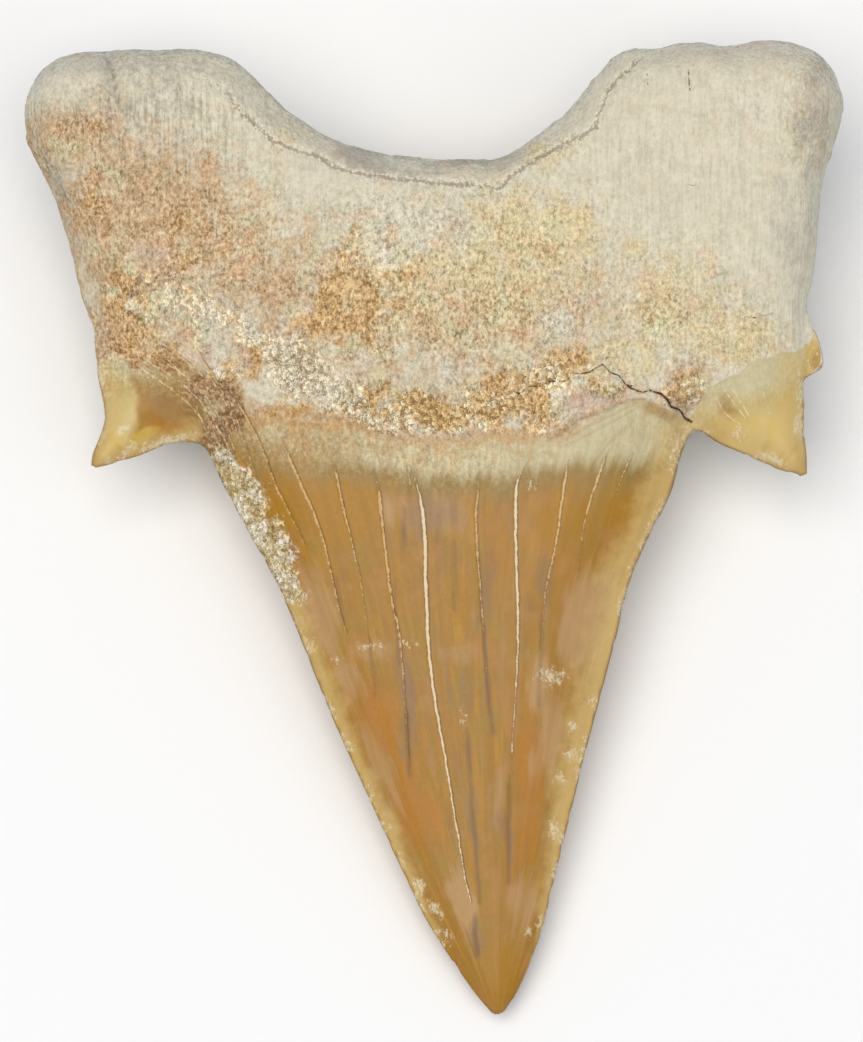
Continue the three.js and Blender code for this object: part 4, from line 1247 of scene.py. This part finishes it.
above_end, crown = stored("foot"), stored("crown")
foot = calc("MULTIPLY_ADD", centred(streaky[0], 3.5), crown, above_end)
olive = scaled(between(foot, AMBER_STARTS, -0.9, 0.0, 0.75), between(crown, 0.0, 1.0, 0.3, 1.0))
enamel = lay_over(olive, enamel, OLIVE)
enamel = lay_over(between(foot, -1.1, 0.9, 0.0, 0.92), enamel, PALE_ENAMEL)
enamel = lay_over(scaled(islands(flecks[1], stored("border"), 0.5, 0.8), BORDER_STRENGTH), enamel, WORN_TAN)
enamel = lay_over(scaled(islands(flecks[2], stored("tea"), 0.45, 1.0), TEA_STRENGTH), enamel, TEA)
enamel = lay_over(scaled(seam, SEAM_ON_ENAMEL), enamel, SEAM_BROWN)
band_fibres = fibres_in(grain_flow, *BAND_FIBRES)
hanging = scaled(between(band_fibres, 0.5, 0.85, 0.0, 0.58), between(above_end, -0.9, 1.4))
enamel = lay_over(scaled(scaled(hanging, crown), stored("chips")), enamel, SEAM_BROWN)
chipped = scaled(centred(pores[0], 2.4), between(above_end, -2.5, 0.5, 0.12, 1.0))
enamel = toned(enamel, scaled(chipped, stored("chips")))
streaks = fibres_in(grain_flow, *STREAKS)
streak_strength = scaled(between(above_end, -26, -8, 0.04, 0.12), crown)
brightness = calc("MULTIPLY_ADD", centred(streaks, 1.0), streak_strength, 1.0)
enamel = place("ShaderNodeHueSaturation", {"Value": brightness, "Color": enamel})
print("olive band, mm high:", -AMBER_STARTS)

# %% [markdown]
# A thin brown line of painted shade follows the very edge, where the thin enamel turns away from the light.
# Salt, a pale dust, sits in small islands, and one of them is a painted highlight on the left cusp.

# %% Painted edge shade, dust and a painted glint
EDGE_SHADE_BROWN, DUST_AND_GLINT = paint(138, 100, 48), paint(222, 209, 178)
DUST_AND_GLINT_STRENGTH = 0.7

# Painted shade: a thin brown line along the very edge of the enamel.
painted_edge_shade = between(plus(stored("edge"), centred(pores[1], 0.3)), 0.32, 0.06, 0.0, 0.5)
enamel = lay_over(painted_edge_shade, enamel, EDGE_SHADE_BROWN)
# Pale dust, and on the left cusp a painted highlight, a glint.
salt = scaled(stored("salt"), 0.6)
thin_dust_and_glint = scaled(islands(ragged[1], salt, 0.4, 1.4), 0.5)
dust_and_glint = calc("MAXIMUM", islands(pores[1], salt, 0.2, 2.6), thin_dust_and_glint)
enamel = lay_over(scaled(dust_and_glint, DUST_AND_GLINT_STRENGTH), enamel, DUST_AND_GLINT)
print("nodes so far:", len(tree.nodes))

# %% [markdown]
# ### Both together
# Enamel lies over bone. Over both lies the umber stain beside the left cusp, rusty at its top, with tan
# strokes down its fold.

# %% Enamel over bone, and the umber stain
UMBER, MAUVE, FOLD_TAN, FOLD_RUST = (
    paint(124, 87, 45), paint(146, 117, 88), paint(196, 148, 92), paint(166, 112, 56),
)
UMBER_STRENGTH = 0.9
FOLD_FIBRES = (0.36, 2.6)  # width and length, mm

enamel_mask = islands(ragged[2], stored("enamel"), 0.15, 0.7)
colour = lay_over(enamel_mask, bone, enamel)
umber = islands(flecks[0], stored("umber"), 0.45, 1.0)
fold_flow, folded = stored("fold", "Vector"), stored("folded")
fold_fibres = fibres_in(fold_flow, *FOLD_FIBRES)
down_fold = place("ShaderNodeSeparateXYZ", {"Vector": fold_flow}, 1)
umber_colour = lay_over(islands(flecks[2], 0.45, 0.3), UMBER, MAUVE)
rusty = scaled(between(down_fold, 9.0, 4.0, 0.0, 0.7), folded)
umber_colour = lay_over(rusty, umber_colour, FOLD_RUST)
strokes = scaled(between(fold_fibres, 0.45, 0.9, 0.0, 0.55), folded)
umber_colour = lay_over(strokes, umber_colour, FOLD_TAN)
umber_colour = toned(umber_colour, centred(pores[2], 4.2))
colour = lay_over(scaled(umber, UMBER_STRENGTH), colour, umber_colour)
colour = toned(colour, scaled(centred(fold_fibres, 0.5), folded))
print("nodes so far:", len(tree.nodes))

# %% [markdown]
# The sand stuck to the left cutting edge has the crust's grains, in other colours.

# %% Stuck sand
SAND_DARK, SAND_LIGHT = paint(206, 188, 140), paint(238, 231, 210)
SAND_STRENGTH, GAP_STRENGTH = 0.85, 0.38

stuck_sand = islands(ragged[0], scaled(stored("edge_crust"), 0.9), 0.3, 1.5)
sand_colour = lay_over(between(flecks[1], 0.4, 0.6), SAND_DARK, SAND_LIGHT)
sand_colour = toned(sand_colour, grain_lift, SAND_SHADE)
sand_colour = lay_over(scaled(gaps, GAP_STRENGTH), sand_colour, GAP_BROWN)
colour = lay_over(scaled(stuck_sand, SAND_STRENGTH), colour, sand_colour)
print("nodes so far:", len(tree.nodes))

# %% [markdown]
# The lines come last. A pale crack has a narrow brown shadow, and the noise of the pores makes beads of
# its filling where the crack is thin.

# %% Dark streaks and pale cracks
SHADOW_BROWN, CRACK_TAN, CRACK_SAND = paint(100, 74, 52), paint(212, 176, 122), paint(232, 214, 178)
FILLED, SHADED = (0.46, 0.68), (0.24, 0.60)  # how deep inside a crack its filling and its shadow begin
FILLING_STRENGTH = 0.92

dark_streak = between(stored("dark_streak"), 0.05, 0.9, 0.0, 0.6)
colour = lay_over(dark_streak, colour, SHADOW_BROWN)
bead = scaled(centred(pores[0], 1.2), between(stored("crack_pale"), 0.0, 0.6, 1.0, 0.5))
shadow = between(plus(stored("crack_shadow"), bead), *SHADED, 0.0, 0.54)
colour = lay_over(shadow, colour, SHADOW_BROWN)
filling = between(plus(stored("pale_crack"), bead), *FILLED)
crack_colour = lay_over(between(stored("crack_pale"), 0.2, 0.6), CRACK_TAN, CRACK_SAND)
colour = lay_over(scaled(filling, FILLING_STRENGTH), colour, crack_colour)
print("nodes so far:", len(tree.nodes))

# %% [markdown]
# The notch's line is brown with pale crumbs, a hairline is pale with a painted shadow beside it, and the
# open crack is painted dark, as the shade inside the gap.

# %% Notch, hairlines and open crack
NOTCH_CRUMB, NOTCH_BROWN = paint(230, 223, 204), paint(144, 124, 94)
HAIR_PALE, OPEN_CRACK_SHADE = paint(224, 204, 160), paint(46, 32, 20)
NOTCH_STRENGTH, OPEN_STRENGTH = 0.7, 0.92

notch = stored("notch")
crumbs = islands(pores[2], scaled(notch, 0.75), 0.2, 2.0)
colour = lay_over(scaled(crumbs, NOTCH_STRENGTH), colour, NOTCH_CRUMB)
notch_line = between(plus(notch, centred(pores[0], 1.6)), 0.66, 0.92)
colour = lay_over(scaled(notch_line, NOTCH_STRENGTH), colour, NOTCH_BROWN)
hair = plus(stored("hair"), centred(pores[0], 0.9))
# Painted shadow beside each hairline
colour = lay_over(scaled(between(hair, 0.1, 0.4, 0.0, 0.22), crown), colour, SHADOW_BROWN)
colour = lay_over(between(hair, 0.38, 0.72, 0.0, 0.8), colour, HAIR_PALE)
# Painted shade: the open crack is coloured dark for the shade inside it.
torn = plus(centred(pores[2], 1.2), stored("open_crack"))
open_crack = between(torn, 0.50, 0.76)
colour = lay_over(scaled(open_crack, OPEN_STRENGTH), colour, OPEN_CRACK_SHADE)
print("nodes so far:", len(tree.nodes))

# %% [markdown]
# ### Gloss and fine relief
# Bone is matt. Enamel keeps a satin shine, except where dust, sand or a crack covers it. The bump is in
# millimetres, like the relief in the mesh, and adds only what is finer than the mesh: pores, fibres,
# and sand grains.

# %% Roughness, bump and shader
BONE_ROUGHNESS, ENAMEL_ROUGHNESS = 0.86, 0.38
PORE_HEIGHT, FIBRE_HEIGHT, GRAIN_HEIGHT = 0.16, 0.04, 0.12  # mm

covered = calc("MAXIMUM", calc("MAXIMUM", dust_and_glint, filling), calc("MAXIMUM", stuck_sand, umber))
shiny = calc("SUBTRACT", enamel_mask, covered)
roughness = between(shiny, 0.0, 1.0, BONE_ROUGHNESS, ENAMEL_ROUGHNESS)

# Pores and fibres where bone is bare, and the domes of the grains where there is sand
pore_height = scaled(calc("SUBTRACT", pores[2], 0.5), PORE_HEIGHT)
bone_height = calc("MULTIPLY_ADD", root_fibres, FIBRE_HEIGHT, scaled(pore_height, grainy))
sandy = calc("MAXIMUM", stored("crust"), stored("edge_crust"))
bare = calc("MAXIMUM", calc("SUBTRACT", 1.0, stored("enamel")), stored("umber"))
sand_height = scaled(scaled(dome, sandy), GRAIN_HEIGHT)
height = calc("MULTIPLY_ADD", bone_height, bare, sand_height)
normal = place("ShaderNodeBump", {"Height": height, "Distance": MM, "Strength": 1.0})
sockets = {
    "Base Color": colour, "Roughness": roughness, "Normal": normal, "IOR": 1.5, "Specular IOR Level": 0.3,
}
surface = place("ShaderNodeBsdfPrincipled", sockets)
place("ShaderNodeOutputMaterial", {"Surface": surface}, output=None)
tooth.data.materials.append(finish)
print("nodes in the tooth's material:", len(tree.nodes))

# %% [markdown]
# ## Floor and light
# The tooth lies on a plain, nearly white floor. One large soft lamp stands nearly behind the camera, a
# little up and to the left, and a weaker one fills in from the right. So the flat face is evenly lit, and
# only the rims that turn away fall into a cool shade, which comes from the bluish surroundings and, on the
# root, from the grey painted shade on its rims.

# %% Floor
FLOOR_SIZE = 4.0  # m
PAPER_WHITE, PAPER_ROUGHNESS = paint(243, 243, 243), 0.9

bpy.ops.mesh.primitive_plane_add(size=FLOOR_SIZE, location=(0, 0, 0))
floor = bpy.context.object
floor.name = "floor"
paper = bpy.data.materials.new("floor_paper")
paper.use_nodes = True
paper_shader = paper.node_tree.nodes["Principled BSDF"]
paper_shader.inputs["Base Color"].default_value = PAPER_WHITE
paper_shader.inputs["Roughness"].default_value = PAPER_ROUGHNESS
floor.data.materials.append(paper)
print("floor, m wide:", FLOOR_SIZE)

# %% Light
SURROUNDINGS = (0.62, 0.76, 1.0, 1)
SURROUNDINGS_STRENGTH = 0.36
# Each lamp: name, direction it stands in (x, y, z), distance, size in metres, watts, colour
LAMPS = [
    ("key", (-0.20, -0.04, 0.9), 1.2, 1.0, 12.0, (1.0, 0.94, 0.84)),
    ("fill", (0.40, -0.25, 0.8), 1.2, 1.0, 3.6, (1.0, 0.95, 0.86)),
]

world = bpy.data.worlds.new("studio")
world.use_nodes = True
world.node_tree.nodes["Background"].inputs["Color"].default_value = SURROUNDINGS
world.node_tree.nodes["Background"].inputs["Strength"].default_value = SURROUNDINGS_STRENGTH
bpy.context.scene.world = world
for name, direction, far, size, watts, colour in LAMPS:
    spot = Vector(direction).normalized() * far
    bpy.ops.object.light_add(type="AREA", location=spot)
    lamp = bpy.context.object
    lamp.name = name
    lamp.data.size = size
    lamp.data.energy = watts
    lamp.data.color = colour
    lamp.rotation_euler = (-spot).to_track_quat("-Z", "Y").to_euler()
bpy.context.scene.view_settings.view_transform = "Standard"
print("lamps:", [lamp[0] for lamp in LAMPS])

# %% [markdown]
# ## Hand over
# The tooth rides on the model's only body and stands for its CAD solid.

# %% Hand over
select_only(tooth)
bpy.ops.object.shade_smooth()
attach(tooth, "root")
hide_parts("tooth")
